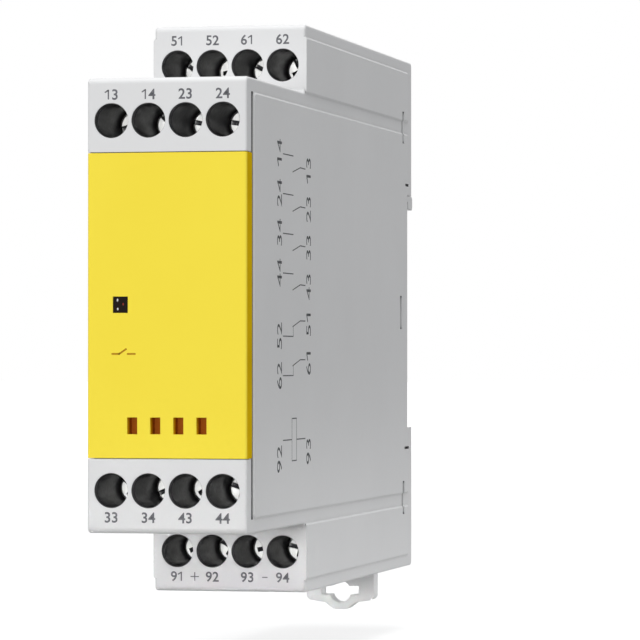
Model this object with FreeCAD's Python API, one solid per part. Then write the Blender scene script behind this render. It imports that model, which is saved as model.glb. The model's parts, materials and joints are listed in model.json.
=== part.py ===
"""Safety relay for a 35 mm mounting rail.

A moulded sleeve holds 16 screw terminals, a circuit board and a force-guided relay. Lengths are in
millimetres. +X is to the right seen from the front, the front faces -Y and +Z is up. The origin is the
middle of the seat that rests on the rail: Y = 0 is the rail's front face, Z = 0 its centreline and X = 0 the
middle of the width.
"""

import FreeCAD, Part
import math
import os
from collections import namedtuple

V = FreeCAD.Vector

# Outer form
module_width = 22.5
panel_rise = 0.2
panel_slope = 0.3
body_height = 80.7
front_height = 61.2
front_reach = 105.8
wing_reach = 71.3
rear_reach = 4.5
corner_radius = 0.8
edge_radius = 0.35
side_wall = 0.75
face_wall = 1.2
ledge_wall = 1.4
running_gap = 0.05
seat_gap = 0.1
foot_gap = 0.2
embed = 0.5
over = 1.0

# Raised panels and grooves on the sides
panel_front_setback = 3.4
panel_rear = 1.7
panel_corner = 1.0
panel_corner_share = 0.4
main_panel_margin = 1.9
wing_panel_margin = 1.75
panel_split = 0.1
frame_depth = 2.4
frame_groove_depth = 0.3

# Windows for the snap hooks: rearward place, lower and upper end
snap_window_width = 1.3
SnapWindow = namedtuple("SnapWindow", "y low high")
snap_windows = (
    SnapWindow(-3.1, 27.05, 32.1),
    SnapWindow(-5.0, -2.5, 2.75),
    SnapWindow(-2.95, -31.9, -26.65),
)
snap_side_gap = 0.3
parting_mark = 3.4
parting_mark_height = 0.4
parting_mark_depth = 0.3
parting_marks = ((-1.5, 20.5), (-2.2, -21.4))

# Front cover
cover_height = 41.0
cover_wall = 1.2
cover_side_wall = 0.95
cover_seat_rear = 3.2
cover_opening_side = 1.9
cover_opening_half_height = 17.9
cover_arm_inset = 1.4
cover_arm_width = 2.4
cover_arm_tip = 1.6
window_width = 1.97
window_height = 2.1
window_z = 0.1
window_flange = 0.35
window_flange_thickness = 0.8
slot_width = 1.4
slot_height = 2.25
slot_depth = 2.2
slot_pitch = 3.2
slot_z = -16.15
slot_count = 4
pocket_wall = 0.4
pocket_floor = 0.7

# Rail and its seat
rail_height = 35.0
rail_sheet = 1.0
rail_play = 0.4
sheet_play = 0.3
lower_seat_play = 0.7
seat_relief = 0.2
seat_pad_margin = 1.3
hook_overlap = 0.85
hook_rise = 1.0
hook_reach = 4.97
hook_nose = 0.45

# Terminals
pitch = 5.15
most_columns = 4
front_axis_drop = 5.75
hole_diameter = 4.7
well_diameter = 4.5
head_depth = 11.6
head_diameter = 4.1
head_height = 2.2
head_chamfer = 0.3
drive_width = 0.65
drive_depth = 1.1
cross_length = 2.7
shank_diameter = 3.0
screw_point = 0.5
thread_pitch = 0.5
clamp_turns = 6
seat_web = 0.8
collar_height = 1.6
bar_thickness = 0.8
bar_width = 3.0
clamp_width = 4.1
clamp_wall = 0.4
clamp_jaw = 0.8
clamp_length = 4.6
clamp_corner = 0.45
clamp_gap = 0.15
grip_depth = 0.25
block_inner = 3.85
block_rim = 0.5
block_side_gap = 0.05
entry_corner = 0.4
entry_width = 3.7
entry_length = 4.6
throat_width = 3.2
throat_length = 3.1

# Leads from the terminals to the board
lead_drop = 1.4
lead_width = 1.6
lead_first = 4.4
lead_step = 3.0
pin_width = 1.0

# Circuit board, upright on its long edge
board_thickness = 1.6
board_standoff = 0.7
board_rear = -9.0
board_front = -83.0
board_shoulder = -77.0
board_wing_front = -49.0
board_tongue_front = -100.0
board_tongue_half = 6.0
pin_reach = 0.4
pin_gap = 0.15

# Force-guided relay on the board
relay_front = -66.0
relay_rear = -12.0
relay_half_height = 9.0
relay_base_height = 2.0
relay_cover_wall = 0.8
relay_side_gap = 1.0
core_share = 0.43
pole_share = 0.68
pole_thickness = 0.9
bobbin_wall_share = 0.107
bobbin_clearance = 0.25
bobbin_flange = 0.9
winding_rim_share = 0.054
yoke_thickness = 1.5
yoke_leg = 1.3
yoke_half_height = 5.5
yoke_tip = 1.5
yoke_ear = 1.0
yoke_ear_length = 4.5
yoke_ear_margin = 1.4
coil_pin_setback = 1.2
coil_pin_height = 1.5
armature_thickness = 1.2
armature_half_height = 5.3
armature_open_angle = 4.0
armature_foot = 0.3
armature_shoulder = 0.6
pivot_rise = 1.1
pivot_y = -40.3
pivot_radius = 0.8
residual_gap = 0.1
tongue_half_height = 1.4
card_thickness = 1.1
card_clearance = 0.4
card_rear = -14.5
card_half_height = 6.6
card_rim = 1.6
tooth_thickness = 0.8
tooth_reach = 1.6
tooth_half_height = 1.6
first_contact_y = -36.0
contact_pitch = 7.0
contact_row_z = 4.4
blade_width = 4.0
moving_blade = 0.3
moving_tip_gap = 0.6
fixed_blade = 0.5
fixed_tip_gap = 0.5
contact_drop = 1.3
contact_radius = 1.1
contact_height = 0.4
contact_gap = 0.5
guide_post = 2.0
guide_half_height = 1.2
key_half_height = 0.8
return_wire = 0.3
return_coil_radius = 0.9
return_pitch = 1.25
return_drop = 1.7

# Electronics on the board
capacitor_radius = 4.0
capacitor_length = 12.5
capacitor_y = -73.5
capacitor_z = 1.5
capacitor_rim = 0.5
capacitor_groove = 0.3
capacitor_groove_place = 1.8
capacitor_leg_pitch = 3.6
capacitor_leg_reach = 1.2
bridge_height = 3.2
bridge_width = 6.4
bridge_length = 8.2
bridge_y = -77.0
bridge_z = -15.0
bridge_rim = 0.4
bridge_leg_inset = 1.4
varistor_radius = 4.0
varistor_thickness = 3.2
varistor_y = -90.0
varistor_rim = 1.0
varistor_stand = 0.8
varistor_leg_pitch = 5.0
varistor_leg_depth = 2.5
led_radius = 1.5
led_length = 4.4
led_tip_y = -102.2
led_leg_pitch = 2.4
led_leg_reach = 1.0
wire = 0.6

# Rear base
base_plate = 2.0
base_gap = 0.1
channel_floor = 1.0
snap_arm = 0.9
snap_nose = 0.65
snap_nose_root = 0.3
snap_nose_land = 0.2
board_grip = 2.4
board_grip_z = 24.0
board_grip_half = 1.5
board_grip_wall = 0.5
boss_radius = 1.2
board_bosses = ((-92.0, 0.0), (-73.0, 24.0), (-73.0, -24.0))

# Sprung foot that grips the rail
foot_half_width = 5.5
foot_front = 1.2
foot_rear = 4.4
foot_flange_half = 6.3
foot_flange_rear = 2.4
foot_flange_margin = 4.75
foot_flange_drop = 1.3
foot_overlap = 0.9
foot_nose_lead = 1.8
foot_travel = 3.0
tail_reach = 7.05
tail_shoulder = 1.55
tail_tip_half = 1.1
tail_flank_half = 2.5
tail_flank_drop = 0.45
tail_corner = 0.9
eye_radius = 1.75
eye_rise = 2.8
eye_slot_half = 3.05
eye_slot_below = 0.5
eye_slot_above = 0.9
foot_window_half = 2.6
foot_window_margin = 6.25
foot_window_drop = 3.8
post_half_width = 2.3
post_height = 1.8
post_rear_gap = 0.4
spring_wire = 0.5
spring_radius = 1.15
spring_pitch = 1.4
spring_peg_radius = 0.75
spring_peg = 1.2

# Derived places
panel_half = module_width / 2
border_half = panel_half - panel_rise
inner_half = border_half - side_wall
half_height = body_height / 2
front_half = front_height / 2
front_y = -front_reach
wing_y = -wing_reach
main_panel_half = front_half - main_panel_margin
wing_panel_low = front_half - panel_split
wing_panel_high = half_height - wing_panel_margin
cover_half = cover_height / 2
cover_opening_half_width = inner_half - cover_opening_side
rail_half = rail_height / 2
lower_seat_z = -rail_half - lower_seat_play
groove_top = rail_half + rail_play
seat_pad_half = rail_half - seat_pad_margin
hook_tip_z = rail_half - hook_overlap
hook_root_z = groove_top + hook_rise
hook_groove = rail_sheet + sheet_play
columns = min(most_columns, round(2 * inner_half // (pitch - running_gap)))
wing_axis_z = half_height - front_axis_drop
front_axis_z = front_half - front_axis_drop
shank_seat = head_depth + head_height
web_start = shank_seat + foot_gap
web_end = web_start + seat_web
clamp_travel = thread_pitch * clamp_turns
collar_start = web_end + seat_gap + clamp_travel
collar_end = collar_start + collar_height
bar_start = collar_end + seat_web + seat_gap
bar_end = bar_start + bar_thickness
jaw_start = bar_end + seat_gap * 2 + clamp_travel
jaw_end = jaw_start + clamp_jaw
block_end = jaw_end + foot_gap + block_rim
entry_depth = (bar_end + jaw_start) / 2
board_back = -inner_half + board_standoff
board_x = board_back + board_thickness
window_x = board_x + led_radius + running_gap
board_half = wing_axis_z - block_inner - seat_gap * 3
board_front_half = front_axis_z - block_inner - seat_gap * 2
relay_base_top = board_x + relay_base_height
relay_top = inner_half - relay_side_gap
card_x = relay_top - relay_cover_wall - card_clearance - card_thickness
yoke_top = relay_base_top + yoke_leg
coil_x = (yoke_top + card_x) / 2
bobbin_flange_radius = (card_x - yoke_top) / 2 - bobbin_clearance
winding_radius = bobbin_flange_radius * (1 - winding_rim_share)
bobbin_wall = bobbin_flange_radius * bobbin_wall_share
core_radius = bobbin_flange_radius * core_share
pole_radius = bobbin_flange_radius * pole_share
armature_foot_x = relay_base_top + armature_foot
armature_shoulder_x = card_x - armature_shoulder
pivot_x = relay_base_top + pivot_rise
moving_tip_x = card_x - moving_tip_gap
fixed_tip_x = card_x - tooth_reach - fixed_tip_gap
contact_x = fixed_tip_x - contact_drop
return_x = card_x - return_drop
contact_sets = tuple(first_contact_y + k * contact_pitch for k in range(3))
card_arm = card_x + card_thickness / 2 - pivot_x
card_travel = card_arm * math.sin(math.radians(armature_open_angle))
pole_face = pivot_y - armature_thickness / 2 - residual_gap
foot_nose_z = -rail_half + foot_overlap
foot_flange_low = -half_height + foot_flange_margin
foot_flange_high = lower_seat_z - foot_flange_drop
foot_window_low = -half_height + foot_window_margin
foot_window_high = lower_seat_z - foot_window_drop
post_low = foot_window_low + seat_gap
post_high = post_low + post_height
tail_tip_z = -half_height - tail_reach
tail_shoulder_z = tail_tip_z + tail_shoulder
eye_z = tail_tip_z + eye_rise

Row = namedtuple("Row", "name face_y axis_z side numbers turns")
rows = (
    Row("wing_upper", wing_y, wing_axis_z, 1, (51, 52, 61, 62), (35, 80, 28, 62)),
    Row("front_upper", front_y, front_axis_z, 1, (13, 14, 23, 24), (-14, 48, 12, 9)),
    Row("front_lower", front_y, front_axis_z, -1, (33, 34, 43, 44), (40, -25, 55, 20)),
    Row("wing_lower", wing_y, wing_axis_z, -1, (91, 92, 93, 94), (64, 30, 75, 15)),
)


def column_x(column):
    """X of a terminal's axis, counted from the left."""
    return (column - (columns - 1) / 2) * pitch


def box(x, y, z):
    """Block between three pairs of limits."""
    low = V(min(x), min(y), min(z))
    return Part.makeBox(abs(x[1] - x[0]), abs(y[1] - y[0]), abs(z[1] - z[0]), low)


def both(half):
    """Pair of limits either side of zero."""
    return (-half, half)


def around(middle, half):
    """Pair of limits either side of a place."""
    return (middle - half, middle + half)


def rounded_wire(points, radius):
    """Closed outline through points, with every corner rounded to radius, or sharp where it is 0."""
    if not radius:
        return Part.makePolygon(points + points[:1])
    arcs = []
    for k, corner in enumerate(points):
        back = (points[k - 1] - corner).normalize()
        ahead = (points[(k + 1) % len(points)] - corner).normalize()
        half = back.getAngle(ahead) / 2
        inward = (back + ahead).normalize()
        middle = corner + inward * (radius / math.sin(half) - radius)
        run = radius / math.tan(half)
        arcs.append((corner + back * run, middle, corner + ahead * run))
    edges = []
    for k, arc in enumerate(arcs):
        edges.append(Part.Arc(*arc).toShape())
        edges.append(Part.LineSegment(arc[2], arcs[(k + 1) % len(arcs)][0]).toShape())
    return Part.Wire(edges)


def prism_x(points, x, radius=0.0):
    """Outline of (y, z) points swept along X between the limits x."""
    wire_points = [V(x[0], y, z) for y, z in points]
    return Part.Face(rounded_wire(wire_points, radius)).extrude(V(x[1] - x[0], 0, 0))


def prism_y(points, y, radius=0.0):
    """Outline of (x, z) points swept along Y between the limits y."""
    wire_points = [V(x, y[0], z) for x, z in points]
    return Part.Face(rounded_wire(wire_points, radius)).extrude(V(0, y[1] - y[0], 0))


def prism_z(points, z, radius=0.0):
    """Outline of (x, y) points swept along Z between the limits z."""
    wire_points = [V(x, y, z[0]) for x, y in points]
    return Part.Face(rounded_wire(wire_points, radius)).extrude(V(0, 0, z[1] - z[0]))


def rod_x(radius, y, z, x):
    """Cylinder along X between the limits x."""
    return Part.makeCylinder(radius, x[1] - x[0], V(x[0], y, z), V(1, 0, 0))


def rod_y(radius, x, z, y):
    """Cylinder along Y between the limits y."""
    return Part.makeCylinder(radius, y[1] - y[0], V(x, y[0], z), V(0, 1, 0))


def rod_z(radius, x, y, z):
    """Cylinder along Z between the limits z."""
    return Part.makeCylinder(radius, z[1] - z[0], V(x, y, z[0]), V(0, 0, 1))


def corners(a, b):
    """Four corners of the rectangle between two pairs of limits."""
    return [(a[0], b[0]), (a[1], b[0]), (a[1], b[1]), (a[0], b[1])]


def mirror_side(shape, side):
    """The shape itself for the upper side, or its mirror image below."""
    if side > 0:
        return shape
    return shape.mirror(V(0, 0, 0), V(0, 0, 1))


def joined(shapes):
    """One solid from shapes that meet."""
    return shapes[0].multiFuse(shapes[1:]).removeSplitter()


def on_side_face(edge):
    """Whether an edge lies in one of the two flat sides of the outer form."""
    return all(abs(abs(vertex.X) - border_half) < 1e-6 for vertex in edge.Vertexes)


def outer_form():
    """Stepped block with rounded edges that the sleeve and the cover are cut from."""
    profile = [
        (front_y, -front_half),
        (wing_y, -front_half),
        (wing_y, -half_height),
        (rear_reach, -half_height),
        (rear_reach, half_height),
        (wing_y, half_height),
        (wing_y, front_half),
        (front_y, front_half),
    ]
    block = prism_x(profile, both(border_half), corner_radius)
    return block.makeFillet(edge_radius, [edge for edge in block.Edges if on_side_face(edge)])


def raised_panel(y, z, side):
    """Panel that stands proud of one side wall, with sloping edges."""
    corner = min(panel_corner, (z[1] - z[0]) * panel_corner_share)
    root = side * (border_half - side_wall / 2)
    level = side * border_half
    top = side * panel_half
    foot_outline = corners(y, z)
    inner_y = (y[0] + panel_slope, y[1] - panel_slope)
    inner_z = (z[0] + panel_slope, z[1] - panel_slope)
    top_outline = corners(inner_y, inner_z)
    foot_wire = rounded_wire([V(level, a, b) for a, b in foot_outline], corner)
    top_wire = rounded_wire([V(top, a, b) for a, b in top_outline], corner - panel_slope)
    slab = prism_x(foot_outline, (root, level), corner)
    return slab.fuse(Part.makeLoft([foot_wire, top_wire], True, True))


def raised_panels():
    """The three panels of each side: one over the full depth and one behind each row of the wings."""
    panels = []
    main_front = front_y + panel_front_setback
    wing_front = wing_y - panel_corner - panel_slope
    ahead_of_wings = (wing_y - 2 * panel_corner, wing_y)
    for side in (-1, 1):
        panels.append(raised_panel((main_front, panel_rear), both(main_panel_half), side))
        for low in (wing_panel_low, -wing_panel_high):
            high = low + wing_panel_high - wing_panel_low
            panel = raised_panel((wing_front, panel_rear), (low, high), side)
            panels.append(panel.cut(box(both(module_width), ahead_of_wings, (low - over, high + over))))
    return panels


def cavity():
    """Hollow of the sleeve, open to the rear."""
    seat_rear = front_y + cover_seat_rear
    front_inner = front_y + face_wall
    ledge_inner = front_half - ledge_wall
    step_z = cover_half + seat_gap + ledge_wall / 4
    wing_inner = wing_y + face_wall
    top_inner = half_height - ledge_wall
    upper = [
        (seat_rear, step_z),
        (front_inner, step_z),
        (front_inner, ledge_inner),
        (wing_inner, ledge_inner),
        (wing_inner, top_inner),
        (rear_reach + over, top_inner),
    ]
    lower = [(y, -z) for y, z in reversed(upper)]
    return prism_x(upper + lower, both(inner_half))


def cover_seat():
    """Room for the front cover: its plate, its wrapped sides and the opening behind it."""
    seat_half = cover_half + seat_gap
    ahead = front_y - over
    wrap_rear = front_y + frame_depth + seat_gap
    plate = box(both(module_width), (ahead, front_y + cover_wall + seat_gap), both(seat_half))
    opening = box(both(cover_opening_half_width), (ahead, front_y + cover_seat_rear + over),
                  both(cover_opening_half_height))
    cuts = [plate, opening]
    for side in (-1, 1):
        side_limits = (side * (border_half - cover_side_wall - seat_gap), side * module_width)
        cuts.append(box(side_limits, (ahead, wrap_rear), both(seat_half)))
    return cuts


def entry_hole(row, column):
    """Mouth for a wire in the wall above a row of terminals."""
    outer = row.axis_z + front_axis_drop
    x = around(column_x(column), entry_width / 2)
    y = around(row.face_y + entry_depth, entry_length / 2)
    hole = prism_z(corners(x, y), (outer - ledge_wall - over, outer + over), entry_corner)
    return mirror_side(hole, row.side)


def driver_hole(row, column):
    """Round hole in the face in front of a screw."""
    y = (row.face_y - over, row.face_y + face_wall + over)
    return rod_y(hole_diameter / 2, column_x(column), row.side * row.axis_z, y)


def rail_recess(half_width):
    """Space that the rail takes up behind the seat, as deep as the walls reach."""
    return box(both(half_width), (0, hook_reach + over), (lower_seat_z, hook_root_z))


def side_marks():
    """Snap windows, frame grooves and parting marks that are cut into both sides."""
    cuts = []
    groove_y = (front_y + frame_depth, front_y + panel_front_setback)
    for side in (-1, 1):
        through = (side * (inner_half - over), side * module_width)
        for window in snap_windows:
            y = around(window.y, snap_window_width / 2)
            cuts.append(box(through, y, (window.low, window.high)))
        groove_x = (side * (border_half - frame_groove_depth), side * module_width)
        cuts.append(box(groove_x, groove_y, both(main_panel_half)))
        mark_x = (side * (panel_half - parting_mark_depth - panel_rise), side * module_width)
        for y, z in parting_marks:
            cuts.append(box(mark_x, (y, y + parting_mark), around(z, parting_mark_height / 2)))
    return cuts


def housing_shell():
    """Sleeve moulded in one piece: front, wings, ledges and side walls, open at the rear."""
    body = joined([outer_form()] + raised_panels())
    cuts = [cavity(), rail_recess(module_width)] + cover_seat() + side_marks()
    for row in rows:
        for column in range(columns):
            cuts.append(driver_hole(row, column))
            cuts.append(entry_hole(row, column))
    tail_half = foot_half_width + foot_gap
    tail_z = (-half_height - over, -half_height + ledge_wall + over)
    cuts.append(box(both(tail_half), (channel_floor, rear_reach + over), tail_z))
    body = body.cut(cuts)
    boss_x = (-inner_half - side_wall / 2, board_back)
    bosses = [rod_x(boss_radius, y, z, boss_x) for y, z in board_bosses]
    return joined([body] + bosses)


def front_cover():
    """Snap-on cover that wraps round both sides, with a window hole and four blind slots."""
    slab = box(both(module_width), (front_y - over, front_y + frame_depth), both(cover_half))
    room = box(both(border_half - cover_side_wall), (front_y + cover_wall, 0), both(module_width * 2))
    plate = outer_form().common(slab).cut(room)
    back = front_y + cover_wall
    slots_half = (slot_count - 1) * slot_pitch / 2 + slot_width / 2 + pocket_wall
    pocket = box(both(slots_half), (back, front_y + slot_depth + pocket_floor),
                 around(slot_z, slot_height / 2 + pocket_wall))
    arms = []
    for side in (-1, 1):
        for x in both(cover_opening_half_width - cover_arm_inset):
            arms.append(cover_arm(x, side))
    cover = joined([plate, pocket] + arms)
    cuts = [box(around(window_x, window_width / 2 + running_gap), (front_y - over, back + over),
                around(window_z, window_height / 2 + running_gap))]
    for k in range(slot_count):
        x = (k - (slot_count - 1) / 2) * slot_pitch
        cuts.append(box(around(x, slot_width / 2), (front_y - over, front_y + slot_depth),
                        around(slot_z, slot_height / 2)))
    return cover.cut(cuts)


def cover_arm(x, side):
    """Springy arm behind the cover, whose nose catches behind the edge of the opening."""
    outer = cover_opening_half_height - seat_gap
    inner = outer - snap_arm
    root = front_y + cover_wall
    catch = front_y + cover_seat_rear + seat_gap
    tip = catch + cover_arm_tip
    outline = [(root, inner), (tip, inner), (tip, outer), (catch, outer + snap_nose), (catch, outer),
               (root, outer)]
    return mirror_side(prism_x(outline, around(x, cover_arm_width / 2)), side)


def indicator_window():
    """Smoked lens that fills the cover's square hole, with a flange behind it."""
    back = front_y + cover_wall
    lens = box(around(window_x, window_width / 2), (front_y, back), around(window_z, window_height / 2))
    flange = box(around(window_x, window_width / 2 + window_flange), (back, back + window_flange_thickness),
                 around(window_z, window_height / 2 + window_flange))
    return joined([lens, flange])


def wire_funnel(row, column):
    """Tapered way from the mouth to the clamp."""
    x, y = column_x(column), row.face_y + entry_depth
    ends = []
    for z, width, length in (
        (row.axis_z + clamp_length / 2 + foot_gap - running_gap, throat_width, throat_length),
        (row.axis_z + front_axis_drop - ledge_wall, entry_width, entry_length),
    ):
        rectangle = corners(around(x, width / 2), around(y, length / 2))
        points = [V(a, b, z) for a, b in rectangle]
        ends.append(Part.makePolygon(points + points[:1]))
    return Part.makeLoft(ends, True, True)


def terminal_block(row):
    """Black insert with the four wells, chambers and funnels of one row."""
    face = row.face_y
    z = (row.axis_z - block_inner, row.axis_z + front_axis_drop - ledge_wall - block_side_gap)
    y = (face + face_wall, face + block_end)
    body = box(both(inner_half - block_side_gap), y, z)
    cuts = []
    for column in range(columns):
        x = column_x(column)
        web = (face + web_start - over, face + web_end + over)
        cuts.append(rod_y(well_diameter / 2, x, row.axis_z, (y[0] - over, face + web_start)))
        cuts.append(rod_y(shank_diameter / 2 + clamp_gap, x, row.axis_z, web))
        cuts.append(box(around(x, clamp_width / 2 + clamp_gap), (face + web_end, y[1] + over),
                        around(row.axis_z, clamp_length / 2 + foot_gap)))
        cuts.append(box(around(x, bar_width / 2 + seat_gap), (face + bar_start - seat_gap, y[1] + over),
                        (z[0] - over, row.axis_z)))
        cuts.append(wire_funnel(row, column))
    return mirror_side(body.cut(cuts), row.side)


def terminal_screw(row, column):
    """Captive screw with a combined slot and cross drive."""
    x = column_x(column)
    face = row.face_y
    radius = head_diameter / 2
    shank = shank_diameter / 2
    tip = face + bar_start - foot_gap
    top = face + head_depth
    seat = face + shank_seat
    profile = [
        (0, top),
        (radius - head_chamfer, top),
        (radius, top + head_chamfer),
        (radius, seat),
        (shank, seat),
        (shank, tip - screw_point),
        (shank - screw_point, tip),
        (0, tip),
    ]
    outline = Part.makePolygon([V(a, b, 0) for a, b in profile + profile[:1]])
    solid = Part.Face(outline).revolve(V(0, 0, 0), V(0, 1, 0), 360)
    slot = box(both(head_diameter), (top - over, top + drive_depth), both(drive_width / 2))
    cross = box(both(drive_width / 2), (top - over, top + drive_depth), both(cross_length / 2))
    solid = solid.cut([slot, cross])
    solid.rotate(V(0, 0, 0), V(0, 1, 0), row.turns[column])
    solid.translate(V(x, 0, row.side * row.axis_z))
    return solid


def terminal_clamp(row, column):
    """Lifting cage: a threaded collar above the bar and a jaw that rises against it from below."""
    x = column_x(column)
    face = row.face_y
    half = clamp_width / 2
    z = around(row.axis_z, clamp_length / 2)
    cage = prism_z(corners(around(x, half), (face + collar_start, face + jaw_end)), z, clamp_corner)
    inside = box(around(x, half - clamp_wall), (face + collar_end, face + jaw_start),
                 around(row.axis_z, clamp_length))
    collar = (face + collar_start - over, face + collar_end + over)
    bore = rod_y(shank_diameter / 2 + running_gap, x, row.axis_z, collar)
    cuts = [inside, bore]
    jaw = face + jaw_start
    for offset in (-clamp_length / 4, clamp_length / 4):
        low, middle, high = (row.axis_z + offset + k * grip_depth for k in (-1, 0, 1))
        groove = [(jaw - grip_depth, low), (jaw, low), (jaw + grip_depth, middle), (jaw, high),
                  (jaw - grip_depth, high)]
        cuts.append(prism_x(groove, around(x, half - clamp_wall)))
    return mirror_side(cage.cut(cuts), row.side)


def lead_pin_y(row, column):
    """Y of the place where a terminal's lead goes through the board."""
    return row.face_y + bar_start + lead_first + column * lead_step


def terminal_lead(row, column):
    """Current bar of one terminal, bent towards the rear and then across to its hole in the board."""
    x = column_x(column)
    face = row.face_y
    low = row.axis_z - block_inner - lead_drop
    layer = (low, low + bar_thickness)
    bar_y = (face + bar_start, face + bar_end)
    top = row.axis_z + clamp_length / 2
    pin_y = lead_pin_y(row, column)
    narrow = (max(x - lead_width / 2, board_x + seat_gap), x + lead_width / 2)
    bend = [
        (bar_y[0], top),
        (bar_y[0], layer[0] + bar_thickness / 2),
        (bar_y[0] + bar_thickness / 2, layer[0]),
        (bar_y[1] + bar_thickness, layer[0]),
        (bar_y[1] + bar_thickness, layer[1]),
        (bar_y[1], layer[1]),
        (bar_y[1], top),
    ]
    bar = prism_x(bend, around(x, bar_width / 2))
    run = box(narrow, (bar_y[1], pin_y + lead_width / 2), layer)
    across = box((board_x + seat_gap, narrow[1]), around(pin_y, lead_width / 2), layer)
    pin = box((board_back - pin_reach, board_x + embed), around(pin_y, pin_width / 2), layer)
    return mirror_side(joined([bar, run, across, pin]), row.side)


def relay_pins():
    """Places of the relay's pins in the board, as (y, z, half width in y, half width in z)."""
    pins = []
    for k, y in enumerate(contact_sets):
        for z in (-contact_row_z, contact_row_z):
            pins.append((y, z, moving_blade / 2, pin_width / 2))
            pins.append((fixed_blade_y(k), z, fixed_blade / 2, pin_width / 2))
    for z in coil_pin_z():
        pins.append((coil_pin_y(), z, wire / 2, wire / 2))
    return pins


def coil_pin_y():
    """Y of the two pins of the coil."""
    return relay_front + relay_cover_wall + yoke_thickness + coil_pin_setback


def coil_pin_z():
    """Z of the two pins of the coil."""
    outer = yoke_half_height + yoke_ear
    return (-outer, outer)


def fixed_blade_y(k):
    """Y of the middle of a fixed blade: ahead of its moving blade to make, behind it to break."""
    if k < len(contact_sets) - 1:
        return contact_sets[k] - moving_blade / 2 - 2 * contact_height - contact_gap - fixed_blade / 2
    return contact_sets[k] + moving_blade / 2 + 2 * contact_height + running_gap / 2 + fixed_blade / 2


def board_pins():
    """Places of every pin that goes through the board, as (y, z, half width in y, half width in z)."""
    pins = list(relay_pins())
    for row in rows:
        z = row.side * (row.axis_z - block_inner - lead_drop + bar_thickness / 2)
        for column in range(columns):
            pins.append((lead_pin_y(row, column), z, pin_width / 2, bar_thickness / 2))
    for y, z in led_pins() + capacitor_pins() + bridge_pins() + varistor_pins():
        pins.append((y, z, wire / 2, wire / 2))
    return pins


def circuit_board():
    """Stepped board along the left wall, with a tongue that carries the indicator."""
    wing_edge = wing_axis_z - block_inner - lead_drop - seat_gap * 2
    upper = [
        (board_tongue_front, board_tongue_half),
        (board_front, board_tongue_half),
        (board_front, board_front_half),
        (board_shoulder, board_front_half),
        (board_shoulder, wing_edge),
        (board_wing_front, wing_edge),
        (board_wing_front, board_half),
        (board_rear, board_half),
    ]
    lower = [(y, -z) for y, z in reversed(upper)]
    board = prism_x(upper + lower, (board_back, board_x))
    x = (board_back - over, board_x + over)
    holes = [box(x, around(y, a + pin_gap), around(z, b + pin_gap)) for y, z, a, b in board_pins()]
    return board.cut(holes)


def relay_base():
    """Floor of the relay with slots for the blades and two posts that guide the actuator card."""
    cover_room = relay_cover_wall + seat_gap
    y = (relay_front + cover_room, relay_rear - cover_room)
    z = both(relay_half_height - cover_room)
    pieces = [box((board_x, relay_base_top), y, z)]
    for post_y in guide_posts():
        limits = (post_y, post_y + guide_post)
        pieces.append(box((relay_base_top, card_x - running_gap), limits, both(guide_half_height)))
        pieces.append(box((relay_base_top, card_x + card_thickness), limits, both(key_half_height)))
    cuts = []
    x = (board_x - over, relay_base_top + over)
    for k, blade_y in enumerate(contact_sets):
        for row_z in (-contact_row_z, contact_row_z):
            limits = around(row_z, blade_width / 2 + seat_gap)
            cuts.append(box(x, around(blade_y, moving_blade / 2 + seat_gap), limits))
            cuts.append(box(x, around(fixed_blade_y(k), fixed_blade / 2 + seat_gap), limits))
    for pin_z in coil_pin_z():
        cuts.append(box(x, around(coil_pin_y(), wire / 2 + seat_gap), around(pin_z, wire / 2 + seat_gap)))
    return joined(pieces).cut(cuts)


def guide_posts():
    """Y of the front face of each guide post, between the sets of contacts."""
    first = (contact_sets[0] + contact_sets[1]) / 2
    second = (contact_sets[1] + contact_sets[2]) / 2
    return (first, second)


def relay_cover():
    """Dust cover over the relay, open towards the board."""
    y = (relay_front, relay_rear)
    outer = prism_x(corners(y, both(relay_half_height)), (board_x + seat_gap, relay_top), corner_radius)
    inner_y = (relay_front + relay_cover_wall, relay_rear - relay_cover_wall)
    inner_x = (board_x - over, relay_top - relay_cover_wall)
    room = box(inner_x, inner_y, both(relay_half_height - relay_cover_wall))
    return outer.cut(room)


def coil_span():
    """Y limits of the bobbin between the yoke and the pole."""
    rear_leg = relay_front + relay_cover_wall + foot_gap * 2 + yoke_thickness
    return (rear_leg + seat_gap, pole_face - pole_thickness - seat_gap)


def coil_bobbin():
    """Plastic former with two flanges."""
    y = coil_span()
    bore = core_radius + running_gap
    tube = rod_y(bore + bobbin_wall, coil_x, 0, y)
    ends = [rod_y(bobbin_flange_radius, coil_x, 0, (y[0], y[0] + bobbin_flange)),
            rod_y(bobbin_flange_radius, coil_x, 0, (y[1] - bobbin_flange, y[1]))]
    return joined([tube] + ends).cut(rod_y(bore, coil_x, 0, (y[0] - over, y[1] + over)))


def coil_winding():
    """Copper winding, with the two pins that its ends are soldered to."""
    y = coil_span()
    limits = (y[0] + bobbin_flange + running_gap, y[1] - bobbin_flange - running_gap)
    coil = rod_y(winding_radius, coil_x, 0, limits)
    bore = core_radius + bobbin_wall + 2 * running_gap
    coil = coil.cut(rod_y(bore, coil_x, 0, (limits[0] - over, limits[1] + over)))
    pins = [pin_box(coil_pin_y(), z, relay_base_top + coil_pin_height) for z in coil_pin_z()]
    return Part.makeCompound([coil] + pins)


def coil_core():
    """Iron core with its pole disc, riveted into the yoke at the front end."""
    y = coil_span()
    shaft = rod_y(core_radius, coil_x, 0, (y[0] - seat_gap - yoke_thickness, pole_face))
    pole = rod_y(pole_radius, coil_x, 0, (pole_face - pole_thickness, pole_face))
    return joined([shaft, pole])


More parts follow.
